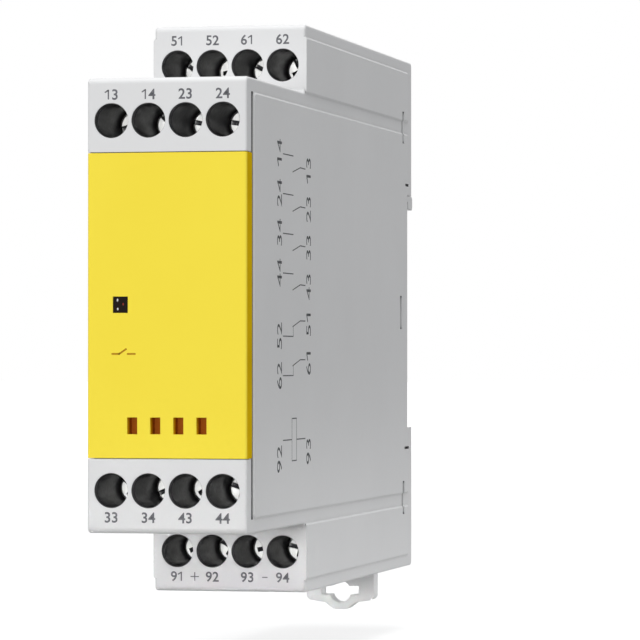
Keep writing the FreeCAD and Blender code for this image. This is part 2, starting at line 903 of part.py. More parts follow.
def relay_yoke():
    """Bent iron yoke: a leg across the front end, a long leg under the coil and two ears at its end."""
    y = coil_span()
    front = y[0] - seat_gap - yoke_thickness
    leg_end = pole_face - contact_gap
    floor = relay_base_top
    outer_half = yoke_half_height + yoke_ear
    short_leg_end = coil_x + core_radius + yoke_tip
    bent = [(floor, front), (short_leg_end, front), (short_leg_end, front + yoke_thickness),
            (yoke_top, front + yoke_thickness), (yoke_top, leg_end), (floor, leg_end)]
    body = prism_z(bent, both(yoke_half_height - foot_gap))
    core_hole = (front - over, front + yoke_thickness + over)
    body = body.cut(rod_y(core_radius + running_gap / 2, coil_x, 0, core_hole))
    ear_y = (leg_end - yoke_ear_length, pivot_y + yoke_ear_margin)
    pieces = [body, box((floor, yoke_top), (ear_y[0], leg_end), both(outer_half))]
    for side in (-1, 1):
        z = (side * (outer_half - yoke_ear + seat_gap), side * outer_half)
        pieces.append(box((floor, pivot_x + yoke_ear_margin), ear_y, z))
    bore = rod_z(pivot_radius + running_gap, pivot_x, pivot_y, both(outer_half + over))
    return joined(pieces).cut(bore)


def armature():
    """Hinged iron plate with two trunnions and a tongue that drives the card, modelled open."""
    y = around(pivot_y, armature_thickness / 2)
    tongue_top = card_x + card_thickness - seat_gap
    plate = box((armature_foot_x, armature_shoulder_x), y, both(armature_half_height))
    tongue = box((armature_shoulder_x - embed, tongue_top), y, both(tongue_half_height))
    trunnions = rod_z(pivot_radius, pivot_x, pivot_y, both(yoke_half_height + yoke_ear - seat_gap))
    solid = joined([plate, tongue, trunnions])
    solid.rotate(V(pivot_x, pivot_y, 0), V(0, 0, 1), armature_open_angle)
    return solid


def actuator_card():
    """Comb that slides over the contacts and pushes the six moving blades together."""
    drive_y = pivot_y + card_travel
    front = drive_y - armature_thickness / 2 - card_rim
    x = (card_x, card_x + card_thickness)
    plate = prism_x(corners((front, card_rear), both(card_half_height)), x, corner_radius)
    pieces = [plate]
    for blade_y in contact_sets:
        start = blade_y + moving_blade / 2 + seat_gap
        for row_z in (-contact_row_z, contact_row_z):
            pieces.append(box((card_x - tooth_reach, card_x), (start, start + tooth_thickness),
                              around(row_z, tooth_half_height)))
    pieces.append(box((return_x - guide_half_height, card_x), (card_rear - guide_half_height, card_rear),
                      both(guide_half_height)))
    cuts = [box((x[0] - over, x[1] + over), around(drive_y, armature_thickness / 2 + 2 * seat_gap),
                both(tongue_half_height + seat_gap))]
    for post_y in guide_posts():
        limits = (post_y - clamp_gap, post_y + guide_post + card_travel + clamp_gap)
        cuts.append(box((x[0] - running_gap, x[1] + over), limits, both(key_half_height + clamp_gap)))
    return joined(pieces).cut(cuts)


def coil_spring(radius, wire_size, coil_pitch, start, axis, length):
    """Helical spring between two planes, along an axis from start, in whole turns of about coil_pitch."""
    turns = max(1, round((length - wire_size) / coil_pitch))
    rise = (length - wire_size) / turns
    helix = Part.makeHelix(rise, rise * turns, radius)
    helix.translate(V(0, 0, wire_size / 2))
    section = Part.Wire(Part.Circle(V(radius, 0, wire_size / 2), V(0, 1, 0), wire_size / 2).toShape())
    solid = Part.Wire(helix.Edges).makePipeShell([section], True, True)
    turn = FreeCAD.Rotation(V(0, 0, 1), axis)
    solid.Placement = FreeCAD.Placement(start, turn)
    return solid


def card_return_spring():
    """Small coil spring between the second guide post and the lug at the rear of the card."""
    start = guide_posts()[1] + guide_post
    length = card_rear - guide_half_height - start
    place = V(return_x, start, 0)
    return coil_spring(return_coil_radius, return_wire, return_pitch, place, V(0, 1, 0), length)


def contact_blade(y, tip_x, thickness, rivet_side):
    """Contact blade of one row, with its pin and its rivet facing along Y."""
    limits = around(y, thickness / 2)
    blade = box((board_x, tip_x), limits, around(contact_row_z, blade_width / 2))
    pin = box((board_back - pin_reach, board_x + embed), limits, around(contact_row_z, pin_width / 2))
    face = y + rivet_side * thickness / 2
    rivet_y = sorted((face - rivet_side * thickness / 2, face + rivet_side * contact_height))
    rivet = rod_y(contact_radius, contact_x, contact_row_z, rivet_y)
    return joined([blade, pin, rivet])


def both_rows(shapes):
    """The shapes of the upper row together with their mirror images in the lower one."""
    return Part.makeCompound(shapes + [mirror_side(shape, -1) for shape in shapes])


def moving_contact_springs():
    """Six thin blades that the card pushes."""
    blades = []
    for k, y in enumerate(contact_sets):
        rivet_side = 1 if fixed_blade_y(k) > y else -1
        blades.append(contact_blade(y, moving_tip_x, moving_blade, rivet_side))
    return both_rows(blades)


def fixed_contact_springs():
    """Six stiffer blades that the moving ones meet."""
    blades = []
    for k, y in enumerate(contact_sets):
        rivet_side = -1 if fixed_blade_y(k) > y else 1
        blades.append(contact_blade(fixed_blade_y(k), fixed_tip_x, fixed_blade, rivet_side))
    return both_rows(blades)


def pin_box(y, z, top_x):
    """Square pin from a part down through the board."""
    return box((board_back - pin_reach, top_x), around(y, wire / 2), around(z, wire / 2))


def led_pins():
    """Board places of the indicator's legs."""
    y = led_tip_y + led_length + led_leg_reach
    return [(y, z) for z in around(window_z, led_leg_pitch / 2)]


def indicator_led():
    """Round light-emitting diode lying along the tongue, behind the window."""
    base_y = led_tip_y + led_length
    x = board_x + led_radius + running_gap
    dome_y = led_tip_y + led_radius
    dome = Part.makeSphere(led_radius, V(x, dome_y, window_z))
    pieces = [rod_y(led_radius, x, window_z, (dome_y, base_y)), dome]
    for y, z in led_pins():
        pieces.append(box(around(x, wire / 2), (base_y - embed, y + wire / 2), around(z, wire / 2)))
        pieces.append(pin_box(y, z, x + wire / 2))
    return joined(pieces)


def capacitor_pins():
    """Board places of the capacitor's legs."""
    return [(y, capacitor_z - capacitor_leg_reach) for y in around(capacitor_y, capacitor_leg_pitch / 2)]


def supply_capacitor():
    """Electrolytic capacitor that lies on the board, with a rolled groove near its seal."""
    x = board_x + capacitor_radius + running_gap
    z = (capacitor_z, capacitor_z + capacitor_length)
    can = rod_z(capacitor_radius, x, capacitor_y, z)
    rim = [edge for edge in can.Edges if abs(edge.CenterOfMass.z - z[1]) < capacitor_rim / 2]
    can = can.makeFillet(capacitor_rim, rim)
    groove_radius = capacitor_radius + capacitor_rim - capacitor_groove
    groove_middle = V(x, capacitor_y, z[0] + capacitor_groove_place)
    groove = Part.makeTorus(groove_radius, capacitor_rim, groove_middle, V(0, 0, 1))
    pieces = [can.cut(groove)]
    for y, pin_z in capacitor_pins():
        pieces.append(box(around(x, wire / 2), around(y, wire / 2), (pin_z - wire / 2, z[0] + embed)))
        pieces.append(pin_box(y, pin_z, x + wire / 2))
    return joined(pieces)


def bridge_pins():
    """Board places of the rectifier's four legs."""
    ys = (bridge_y + wire, bridge_y + bridge_width - wire)
    zs = (bridge_z + bridge_leg_inset, bridge_z + bridge_length - bridge_leg_inset)
    return [(y, z) for y in ys for z in zs]


def rectifier_bridge():
    """Moulded bridge rectifier on four legs."""
    low = board_x + seat_gap * 2
    top = low + bridge_height
    body = box((low, top), (bridge_y, bridge_y + bridge_width), (bridge_z, bridge_z + bridge_length))
    rim = [edge for edge in body.Edges if abs(edge.CenterOfMass.x - top) < bridge_rim / 2]
    body = body.makeChamfer(bridge_rim, rim)
    return joined([body] + [pin_box(y, z, low + embed) for y, z in bridge_pins()])


def varistor_pins():
    """Board places of the varistor's legs."""
    return [(varistor_y + varistor_thickness / 2, z) for z in both(varistor_leg_pitch / 2)]


def varistor():
    """Coated disc that stands on the tongue."""
    x = board_x + varistor_radius + varistor_stand
    disc = rod_y(varistor_radius, x, 0, (varistor_y, varistor_y + varistor_thickness))
    rims = [edge for edge in disc.Edges if edge.Closed and edge.Length > varistor_radius]
    disc = disc.makeFillet(varistor_rim, rims)
    pin_top = x - varistor_radius + varistor_leg_depth
    return joined([disc] + [pin_box(y, z, pin_top) for y, z in varistor_pins()])


def base_profile():
    """Section of the rear base: its rear faces, rail seat and fixed hook, and its inner faces."""
    inset = half_height - ledge_wall - base_gap
    inner_upper = rear_reach - base_plate
    return [
        (rear_reach, -inset),
        (rear_reach, lower_seat_z),
        (-seat_relief, lower_seat_z),
        (-seat_relief, -seat_pad_half),
        (0, -seat_pad_half),
        (0, seat_pad_half),
        (-seat_relief, seat_pad_half),
        (-seat_relief, groove_top),
        (hook_groove, groove_top),
        (hook_groove, hook_tip_z + foot_gap),
        (hook_reach - hook_nose, hook_tip_z),
        (hook_reach, hook_tip_z + hook_nose),
        (hook_reach, hook_root_z - hook_nose),
        (rear_reach, hook_root_z),
        (rear_reach, inset),
        (inner_upper, inset),
        (inner_upper, hook_root_z + base_plate / 2),
        (-base_plate, hook_root_z + base_plate / 2),
        (-base_plate, lower_seat_z - base_plate),
        (channel_floor - base_plate, lower_seat_z - base_plate),
        (channel_floor - base_plate, -inset),
    ]


def hook_strip():
    """Full width of the fixed hook, which also fills the notches in the housing's side walls."""
    top = hook_root_z - seat_gap
    section = [
        (running_gap, groove_top),
        (hook_groove, groove_top),
        (hook_groove, hook_tip_z + foot_gap),
        (hook_reach - hook_nose, hook_tip_z),
        (hook_reach, hook_tip_z + hook_nose),
        (hook_reach, top - hook_nose),
        (rear_reach, top),
        (running_gap, top),
    ]
    return prism_x(section, both(border_half))


def snap_arm_pair(window):
    """Two springy arms with noses for one pair of snap windows."""
    middle = (window.low + window.high) / 2
    root = rear_reach - base_plate / 2
    if abs(middle) < rail_half:
        root = -base_plate / 2
    if middle < lower_seat_z:
        root = channel_floor - base_plate / 2
    outer = inner_half - base_gap
    tip = window.y - snap_window_width
    catch = window.y + snap_window_width / 2 - seat_gap
    lead = window.y - snap_window_width / 2 + seat_gap
    nose_half = (window.high - window.low) / 2 - snap_side_gap
    arms = []
    for side in (-1, 1):
        arms.append(box((side * (outer - snap_arm), side * outer), (tip, root), around(middle, nose_half)))
        inside = side * (outer - snap_nose_root)
        point = side * (outer + snap_nose)
        nose = [(inside, lead), (side * outer, lead), (point, catch - snap_nose_land), (point, catch),
                (inside, catch)]
        arms.append(prism_z(nose, around(middle, nose_half)))
    return arms


def rear_base():
    """Rear closure with the rail seat, the fixed hook, the channel for the foot and the snap arms."""
    half = inner_half - base_gap
    pieces = [prism_x(base_profile(), both(half)), hook_strip()]
    for window in snap_windows:
        pieces += snap_arm_pair(window)
    grip_x = (board_back - board_grip_wall, board_x + board_grip_wall)
    for side, root in ((1, rear_reach - base_plate / 2), (-1, channel_floor - base_plate / 2)):
        grip_z = around(side * board_grip_z, board_grip_half)
        pieces.append(box(grip_x, (board_rear - board_grip, root), grip_z))
    low = -half_height + ledge_wall + base_gap - over
    channel = box(both(foot_half_width + foot_gap), (channel_floor, rear_reach + over),
                  (low, lower_seat_z + over))
    groove = box(both(foot_flange_half + foot_gap), (channel_floor, foot_flange_rear + foot_gap),
                 (foot_flange_low - foot_travel - seat_gap, lower_seat_z + over))
    slot_y = (board_rear - board_grip - over, board_rear + seat_gap)
    slot = box((board_back - running_gap, board_x + running_gap), slot_y, both(half_height))
    post = box(both(post_half_width), (channel_floor - embed, foot_rear - post_rear_gap),
               (post_low, post_high))
    peg = rod_z(spring_peg_radius, 0, spring_y(), (post_high - embed, post_high + spring_peg))
    return joined([joined(pieces).cut([channel, groove, slot]), post, peg])


def spring_y():
    """Y of the foot spring's axis, in the middle of the foot."""
    return (foot_front + foot_rear) / 2


def rail_foot():
    """Sliding foot: nose behind the rail, flanges in the base's grooves and an eye at the tail."""
    tail = [
        (foot_half_width, foot_nose_z),
        (-foot_half_width, foot_nose_z),
        (-foot_half_width, tail_shoulder_z),
        (-tail_flank_half, tail_shoulder_z - tail_flank_drop),
        (-tail_tip_half, tail_tip_z),
        (tail_tip_half, tail_tip_z),
        (tail_flank_half, tail_shoulder_z - tail_flank_drop),
        (foot_half_width, tail_shoulder_z),
    ]
    slab = prism_y(tail, (foot_front, foot_rear), tail_corner)
    flanges = box(both(foot_flange_half), (foot_front, foot_flange_rear),
                  (foot_flange_low, foot_flange_high))
    above = foot_nose_z + over
    behind = foot_rear + over
    lead = [(foot_rear - foot_nose_lead, above), (behind, above),
            (behind, foot_nose_z - foot_nose_lead - over)]
    through = (foot_front - over, foot_rear + over)
    cuts = [
        prism_x(lead, both(foot_flange_half + over)),
        box(both(foot_window_half), through, (foot_window_low, foot_window_high)),
        rod_y(eye_radius, 0, eye_z, through),
        box(both(eye_slot_half), through, (eye_z - eye_slot_below, eye_z + eye_slot_above)),
    ]
    foot = joined([slab, flanges]).cut(cuts)
    peg = rod_z(spring_peg_radius, 0, spring_y(), (foot_window_high - spring_peg, foot_window_high + embed))
    return joined([foot, peg])


def foot_spring():
    """Coil spring between the base's post and the top of the foot's window."""
    place = V(0, spring_y(), post_high)
    length = foot_window_high - post_high
    return coil_spring(spring_radius, spring_wire, spring_pitch, place, V(0, 0, 1), length)


def terminal_leads():
    """All sixteen current bars."""
    return Part.makeCompound([terminal_lead(row, column) for row in rows for column in range(columns)])


def single_parts():
    """Name and builder of each part that there is one of."""
    return {
        "housing_shell": housing_shell,
        "rear_base": rear_base,
        "front_cover": front_cover,
        "indicator_window": indicator_window,
        "circuit_board": circuit_board,
        "terminal_leads": terminal_leads,
        "relay_base": relay_base,
        "relay_cover": relay_cover,
        "coil_bobbin": coil_bobbin,
        "coil_winding": coil_winding,
        "coil_core": coil_core,
        "relay_yoke": relay_yoke,
        "armature": armature,
        "actuator_card": actuator_card,
        "card_return_spring": card_return_spring,
        "moving_contact_springs": moving_contact_springs,
        "fixed_contact_springs": fixed_contact_springs,
        "indicator_led": indicator_led,
        "supply_capacitor": supply_capacitor,
        "rectifier_bridge": rectifier_bridge,
        "varistor": varistor,
        "rail_foot": rail_foot,
        "foot_spring": foot_spring,
    }


def write_part(name, shape):
    """Write one part and print how many solids it has."""
    shape.exportStep(os.path.join("parts", name + ".step"))
    print(f"{name}: {len(shape.Solids)} solids, {shape.Volume:.1f} mm3, valid {shape.isValid()}")


def main():
    """Build every part and write its file."""
    os.makedirs("parts", exist_ok=True)
    for name, build in single_parts().items():
        write_part(name, build())
    for row in rows:
        write_part("terminal_block_" + row.name, terminal_block(row))
        for column, number in enumerate(row.numbers[:columns]):
            write_part(f"screw_{number}", terminal_screw(row, column))
            write_part(f"clamp_{number}", terminal_clamp(row, column))


main()
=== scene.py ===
"""Looks of a slim safety relay for a 35 mm rail: finishes for its solids, its printed signs, light and camera."""

import json
import logging
import math
from dataclasses import dataclass
from enum import Enum
from typing import Protocol

import bmesh
import bpy
from mathutils import Matrix, Vector


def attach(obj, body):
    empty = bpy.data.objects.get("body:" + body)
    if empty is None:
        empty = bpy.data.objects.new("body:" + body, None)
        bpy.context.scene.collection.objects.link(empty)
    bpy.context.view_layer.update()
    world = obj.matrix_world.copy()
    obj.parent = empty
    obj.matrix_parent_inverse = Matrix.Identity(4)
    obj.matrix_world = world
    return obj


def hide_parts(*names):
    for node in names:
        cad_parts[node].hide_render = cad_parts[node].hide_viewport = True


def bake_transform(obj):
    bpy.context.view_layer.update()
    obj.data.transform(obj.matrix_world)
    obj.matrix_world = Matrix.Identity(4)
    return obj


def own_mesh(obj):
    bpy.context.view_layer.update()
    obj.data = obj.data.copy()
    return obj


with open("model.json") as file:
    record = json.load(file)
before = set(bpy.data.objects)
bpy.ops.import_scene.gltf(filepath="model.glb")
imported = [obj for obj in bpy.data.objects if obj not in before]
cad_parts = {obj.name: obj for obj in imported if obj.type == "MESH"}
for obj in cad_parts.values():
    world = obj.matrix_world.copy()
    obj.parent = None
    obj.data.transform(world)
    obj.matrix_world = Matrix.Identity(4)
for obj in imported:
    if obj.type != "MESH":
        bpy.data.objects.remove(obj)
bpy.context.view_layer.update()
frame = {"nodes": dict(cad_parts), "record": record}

MM = 0.001
FRONT_MM = -105.8
WING_MM = -71.3
PITCH_MM = 5.15
COLUMNS = 4
log = logging.getLogger("safety_relay")

Colour = tuple[float, float, float, float]
Links = dict[str | int, bpy.types.NodeSocket]
Line = tuple[tuple[float, float], ...]
Place = tuple[float, float, float]
Span = tuple[float, float]
NOISE: Span = (0.3, 0.7)


def linear(code: str) -> Colour:
    """Turns an sRGB hex value into the linear colour that a shader takes.

    Args:
        code: Six hex digits, such as "E2E2E1".

    Returns:
        Linear red, green, blue and an alpha of 1.
    """
    parts = [int(code[k : k + 2], 16) / 255 for k in (0, 2, 4)]
    red, green, blue = (c / 12.92 if c <= 0.04045 else ((c + 0.055) / 1.055) ** 2.4 for c in parts)
    return (red, green, blue, 1.0)


def add_node(
    tree: bpy.types.NodeTree, kind: str, settings: dict[str, object] | None = None, links: Links | None = None
) -> bpy.types.Node:
    """Adds a node, sets its properties and its sockets, and links what feeds it.

    Args:
        tree: The node tree that gets it.
        kind: Blender's name of the node's type.
        settings: Values for its properties, or for the sockets of that name.
        links: For each socket, by name or number, the output that feeds it.

    Returns:
        The new node.
    """
    node = tree.nodes.new(kind)
    for name, value in (settings or {}).items():
        if name in node.bl_rna.properties:
            setattr(node, name, value)
        else:
            node.inputs[name].default_value = value
    for socket, source in (links or {}).items():
        tree.links.new(source, node.inputs[socket])
    return node


def ramp(
    tree: bpy.types.NodeTree, source: bpy.types.NodeSocket, stops: list[tuple[float, Colour]]
) -> bpy.types.NodeSocket:
    """Colours a value by a ramp of stops.

    Args:
        tree: The node tree.
        source: The value that is looked up.
        stops: Places on the ramp with their linear colours, in order.

    Returns:
        The ramp's colour output.
    """
    node = add_node(tree, "ShaderNodeValToRGB", links={0: source})
    elements = node.color_ramp.elements
    elements[0].position, elements[0].color = stops[0]
    elements[1].position, elements[1].color = stops[-1]
    for place, colour in stops[1:-1]:
        elements.new(place).color = colour
    return node.outputs["Color"]


def grey(value: float) -> Colour:
    """A linear grey as a colour."""
    return (value, value, value, 1.0)


def two_tone(
    tree: bpy.types.NodeTree, noise: bpy.types.NodeSocket, shade: str, colour: str, span: Span = NOISE
) -> bpy.types.NodeSocket:
    """Colours a noise by two hex colours, the first up to the start of a span and the second from its end."""
    return ramp(tree, noise, [(span[0], linear(shade)), (span[1], linear(colour))])


def new_material(name: str) -> tuple[bpy.types.Material, bpy.types.NodeTree]:
    """An empty node material and its tree."""
    material = bpy.data.materials.new(name)
    material.use_nodes = True
    material.node_tree.nodes.clear()
    return material, material.node_tree


def object_noise(
    tree: bpy.types.NodeTree, size_mm: float, detail: float = 2.0, stretch: Place = (1, 1, 1)
) -> bpy.types.NodeSocket:
    """Noise on the object's own coordinates.

    Args:
        tree: The node tree.
        size_mm: Width of one blotch or grain, in millimetres.
        detail: Octaves of finer noise.
        stretch: Factor on the frequency along each axis.

    Returns:
        The noise value, around 0.5.
    """
    place = add_node(tree, "ShaderNodeTexCoord").outputs["Object"]
    mapped = add_node(tree, "ShaderNodeMapping", {"Scale": stretch}, {"Vector": place})
    scale = 0.5 / (size_mm * MM)
    noise = add_node(tree, "ShaderNodeTexNoise", {"Scale": scale, "Detail": detail}, {"Vector": mapped.outputs[0]})
    return noise.outputs["Fac"]


def bumped(
    tree: bpy.types.NodeTree, height: bpy.types.NodeSocket, depth_mm: float, edge_mm: float = 0.0
) -> bpy.types.NodeSocket:
    """A normal disturbed by a height, on edges that are rounded by edge_mm.

    Args:
        tree: The node tree.
        height: Height from 0 to 1.
        depth_mm: What a height of 1 stands for, in millimetres.
        edge_mm: Radius of the small rounding that every moulded or stamped edge has.

    Returns:
        The normal output.
    """
    links: Links = {"Height": height}
    if edge_mm:
        rounded = add_node(tree, "ShaderNodeBevel", {"samples": 4, "Radius": edge_mm * MM})
        links["Normal"] = rounded.outputs[0]
    bump = add_node(tree, "ShaderNodeBump", {"Strength": 1.0, "Distance": depth_mm * MM}, links)
    return bump.outputs["Normal"]


def spread(tree: bpy.types.NodeTree, source: bpy.types.NodeSocket, low: float, high: float) -> bpy.types.NodeSocket:
    """Maps a noise value's usual span onto low to high."""
    settings = {"From Min": NOISE[0], "From Max": NOISE[1], "To Min": low, "To Max": high}
    return add_node(tree, "ShaderNodeMapRange", settings, {"Value": source}).outputs["Result"]


def recessed(
    tree: bpy.types.NodeTree, colour: bpy.types.NodeSocket, shade: str, reach_mm: float, openness: Span
) -> bpy.types.NodeSocket:
    """Paints shade into a colour in slots and inner corners, where little light falls.

    Args:
        tree: The node tree.
        colour: Colour of the open surface.
        shade: Hex colour of the deepest places.
        reach_mm: Width of the slots that are darkened.
        openness: The share of open sky at which the shade is full, and from which the surface keeps its colour.

    Returns:
        The darkened colour.
    """
    settings = {"samples": 8, "only_local": True, "Distance": reach_mm * MM}
    sky = add_node(tree, "ShaderNodeAmbientOcclusion", settings).outputs["AO"]
    share = ramp(tree, sky, [(openness[0], grey(0.0)), (openness[1], grey(1.0))])
    mixed = add_node(tree, "ShaderNodeMix", {"data_type": "RGBA"}, {0: share, 7: colour})
    mixed.inputs[6].default_value = linear(shade)
    return mixed.outputs[2]


def surface(tree: bpy.types.NodeTree, settings: dict[str, object], links: Links) -> None:
    """Ends a material's tree in a Principled shader with these settings and links."""
    shader = add_node(tree, "ShaderNodeBsdfPrincipled", settings, links)
    add_node(tree, "ShaderNodeOutputMaterial", links={"Surface": shader.outputs[0]})


class Finish(Protocol):
    """Anything that can make its material."""

    def make(self) -> bpy.types.Material:
        """Makes the material."""


@dataclass(frozen=True)
class Moulded:
    """Injection-moulded thermoplastic with the fine matt grain of a spark-eroded mould.

    The grain breaks up highlights, and slow blotches come from the way the melt flowed. The grain of the real mould is
    about 0.05 mm wide. It is drawn at grain_mm, so that it shows in a render. Slots and inner corners within recess_mm
    get a painted shade: their colour is darkened for the little light that falls into them.
    """

    name: str
    colour: str
    shade: str
    roughness: float = 0.46
    roughness_play: float = 0.05
    grain_mm: float = 0.22
    grain_depth_mm: float = 0.006
    flow_mm: float = 14.0
    flow_span: Span = (0.32, 0.68)
    edge_mm: float = 0.12
    specular: float = 0.25
    recess_mm: float = 0.0
    recess_shade: str = "6A6A6B"
    recess_openness: Span = (0.58, 0.97)

    def make(self) -> bpy.types.Material:
        """Makes the material."""
        material, tree = new_material(self.name)
        flow = object_noise(tree, self.flow_mm, 3.0)
        colour = two_tone(tree, flow, self.shade, self.colour, self.flow_span)
        # Painted shade: slots and inner corners are darkened for the little light that falls into them.
        if self.recess_mm:
            colour = recessed(tree, colour, self.recess_shade, self.recess_mm, self.recess_openness)
        grain = object_noise(tree, self.grain_mm, 3.0)
        rough = spread(tree, grain, self.roughness - self.roughness_play, self.roughness + self.roughness_play)
        normal = bumped(tree, grain, self.grain_depth_mm, self.edge_mm)
        links: Links = {"Base Color": colour, "Roughness": rough, "Normal": normal}
        surface(tree, {"Specular IOR Level": self.specular}, links)
        return material


@dataclass(frozen=True)
class CoverYellow:
    """Yellow thermoplastic of the front cover, moulded like the grey housing.

    Painted shade darkens its colour with the depth behind the front face: to amber at the side edges, which lie in
    shade, and to brown at the bottom of the slots, where little light falls.
    """

    name: str = "yellow_moulded_cover"
    colour: str = "FFE94E"
    shade: str = "FDE54A"
    # Painted shade: the side colour is for the side edges, which lie in shade, and the colour below it for the slot
    # floors.
    side: str = "FFD010"
    deep: str = "B86622"
    specular: float = 0.0
    roughness: Span = (0.5, 0.6)
    grain_mm: float = 0.22
    grain_depth_mm: float = 0.005
    edge_mm: float = 0.1
    flow_mm: float = 12.0
    flow_span: Span = (0.32, 0.68)
    mottle_mm: float = 3.0
    mottle_shade: float = 0.9
    side_depth_mm: Span = (0.12, 0.4)
    slot_depth_mm: Span = (0.5, 1.9)
    arm_x_mm: float = 8.5

    def make(self) -> bpy.types.Material:
        """Makes the material."""
        material, tree = new_material(self.name)
        place = add_node(tree, "ShaderNodeTexCoord").outputs["Object"]
        axes = add_node(tree, "ShaderNodeSeparateXYZ", links={0: place})
        # Painted shade: the colour darkens with depth behind the front face, to amber at the side edges and to brown
        # in the slots.
        side_shade_share = self.depth(tree, axes.outputs["Y"], self.side_depth_mm)
        slot_shade_depth = self.depth(tree, axes.outputs["Y"], self.slot_depth_mm)
        across = add_node(tree, "ShaderNodeMath", {"operation": "ABSOLUTE"}, {0: axes.outputs["X"]})
        inside = add_node(tree, "ShaderNodeMath", {"operation": "LESS_THAN"}, {0: across.outputs[0]})
        inside.inputs[1].default_value = self.arm_x_mm * MM
        slot_shade_share = add_node(tree, "ShaderNodeMath", {"operation": "MULTIPLY"}, {0: slot_shade_depth, 1: inside.outputs[0]})
        flow = object_noise(tree, self.flow_mm, 3.0)
        face = two_tone(tree, flow, self.shade, self.colour, self.flow_span)
        edge = self.blend(tree, side_shade_share, face, self.mottled(tree, self.side))
        grain = object_noise(tree, self.grain_mm, 3.0)
        links: Links = {
            "Base Color": self.blend(tree, slot_shade_share.outputs[0], edge, self.mottled(tree, self.deep)),
            "Roughness": spread(tree, grain, *self.roughness),
            "Normal": bumped(tree, grain, self.grain_depth_mm, self.edge_mm),
        }
        surface(tree, {"Specular IOR Level": self.specular}, links)
        return material

    def depth(self, tree: bpy.types.NodeTree, along: bpy.types.NodeSocket, span_mm: Span) -> bpy.types.NodeSocket:
        """A value that grows from 0 to 1 between two depths behind the front face."""
        settings = {"From Min": (FRONT_MM + span_mm[0]) * MM, "From Max": (FRONT_MM + span_mm[1]) * MM}
        return add_node(tree, "ShaderNodeMapRange", settings, {"Value": along}).outputs["Result"]

    def blend(
        self,
        tree: bpy.types.NodeTree,
        share: bpy.types.NodeSocket,
        first: bpy.types.NodeSocket,
        second: bpy.types.NodeSocket,
    ) -> bpy.types.NodeSocket:
        """Mixes two colours by a share."""
        return add_node(tree, "ShaderNodeMix", {"data_type": "RGBA"}, {0: share, 6: first, 7: second}).outputs[2]

    def mottled(self, tree: bpy.types.NodeTree, code: str) -> bpy.types.NodeSocket:
        """A colour that varies by a few percent with slow blotches."""
        red, green, blue, _ = tone = linear(code)
        share = self.mottle_shade
        darker = (share * red, share * green, share * blue, 1.0)
        return ramp(tree, object_noise(tree, self.mottle_mm), [(NOISE[0], darker), (NOISE[1], tone)])


@dataclass(frozen=True)
class SmokedLens:
    """Smoked polycarbonate lens, moulded and polished, that lets little light out of the dark room behind it."""

    name: str = "smoked_polycarbonate_lens"
    colour: str = "20130E"
    shade: str = "0A0706"
    haze_mm: float = 0.5
    haze_span: Span = (0.35, 0.7)
    specular: float = 0.06
    roughness: Span = (0.4, 0.55)

    def make(self) -> bpy.types.Material:
        """Makes the material."""
        material, tree = new_material(self.name)
        haze = object_noise(tree, self.haze_mm, 3.0)
        colour = two_tone(tree, haze, self.shade, self.colour, self.haze_span)
        links: Links = {"Base Color": colour, "Roughness": spread(tree, haze, *self.roughness)}
        surface(tree, {"Specular IOR Level": self.specular}, links)
        return material


@dataclass(frozen=True)
class PlatedSteel:
    """Cold-headed or bent steel with a bright nickel or zinc plating.

    Forming leaves fine scratches along one way, drawn at scratch_mm, and the plating varies a little in tone. Narrow
    slots within recess_mm get a painted shade: their colour is darkened for the little light that falls into them.
    """

    name: str
    colour: str
    shade: str
    roughness: float = 0.3
    roughness_play: float = 0.07
    scratch_mm: float = 0.09
    scratch_depth_mm: float = 0.003
    stretch: Place = (1.0, 1.0, 0.12)
    tone_mm: float = 1.6
    edge_mm: float = 0.08
    recess_mm: float = 0.0
    recess_shade: str = "2A2A2C"
    recess_openness: Span = (0.5, 0.9)

    def make(self) -> bpy.types.Material:
        """Makes the material."""
        material, tree = new_material(self.name)
        scratches = object_noise(tree, self.scratch_mm, 3.0, self.stretch)
        colour = two_tone(tree, object_noise(tree, self.tone_mm), self.shade, self.colour)
        # Painted shade: narrow slots are darkened for the little light that falls into them.
        if self.recess_mm:
            colour = recessed(tree, colour, self.recess_shade, self.recess_mm, self.recess_openness)
        rough = spread(tree, scratches, self.roughness - self.roughness_play, self.roughness + self.roughness_play)
        normal = bumped(tree, scratches, self.scratch_depth_mm, self.edge_mm)
        surface(tree, {"Metallic": 1.0}, {"Base Color": colour, "Roughness": rough, "Normal": normal})
        return material


@dataclass(frozen=True)
class WoundCopper:
    """Enamelled copper wire, wound in layers of wire_mm, with a painted highlight on each turn: its colour runs from
    dark to light across the turn.
    """

    name: str = "enamelled_copper_winding"
    colours: tuple[tuple[float, str], ...] = ((0.0, "5E2A12"), (0.6, "B86A38"), (1.0, "D98F58"))
    wire_mm: float = 0.28
    turn_depth_mm: float = 0.08

    def make(self) -> bpy.types.Material:
        """Makes the material."""
        material, tree = new_material(self.name)
        place = add_node(tree, "ShaderNodeTexCoord").outputs["Object"]
        scale = 2 * math.pi / (20 * self.wire_mm * MM)
        bands = {"wave_type": "BANDS", "bands_direction": "Y", "Scale": scale, "Distortion": 0.6, "Detail": 1.0}
        turns = add_node(tree, "ShaderNodeTexWave", bands, {"Vector": place}).outputs["Fac"]
        # Painted highlight and shade: each turn's colour runs from dark brown to light copper across it.
        colour = ramp(tree, turns, [(level, linear(code)) for level, code in self.colours])
        links: Links = {"Base Color": colour, "Normal": bumped(tree, turns, self.turn_depth_mm)}
        surface(tree, {"Metallic": 0.85, "Roughness": 0.3, "Coat Weight": 0.5}, links)
        return material


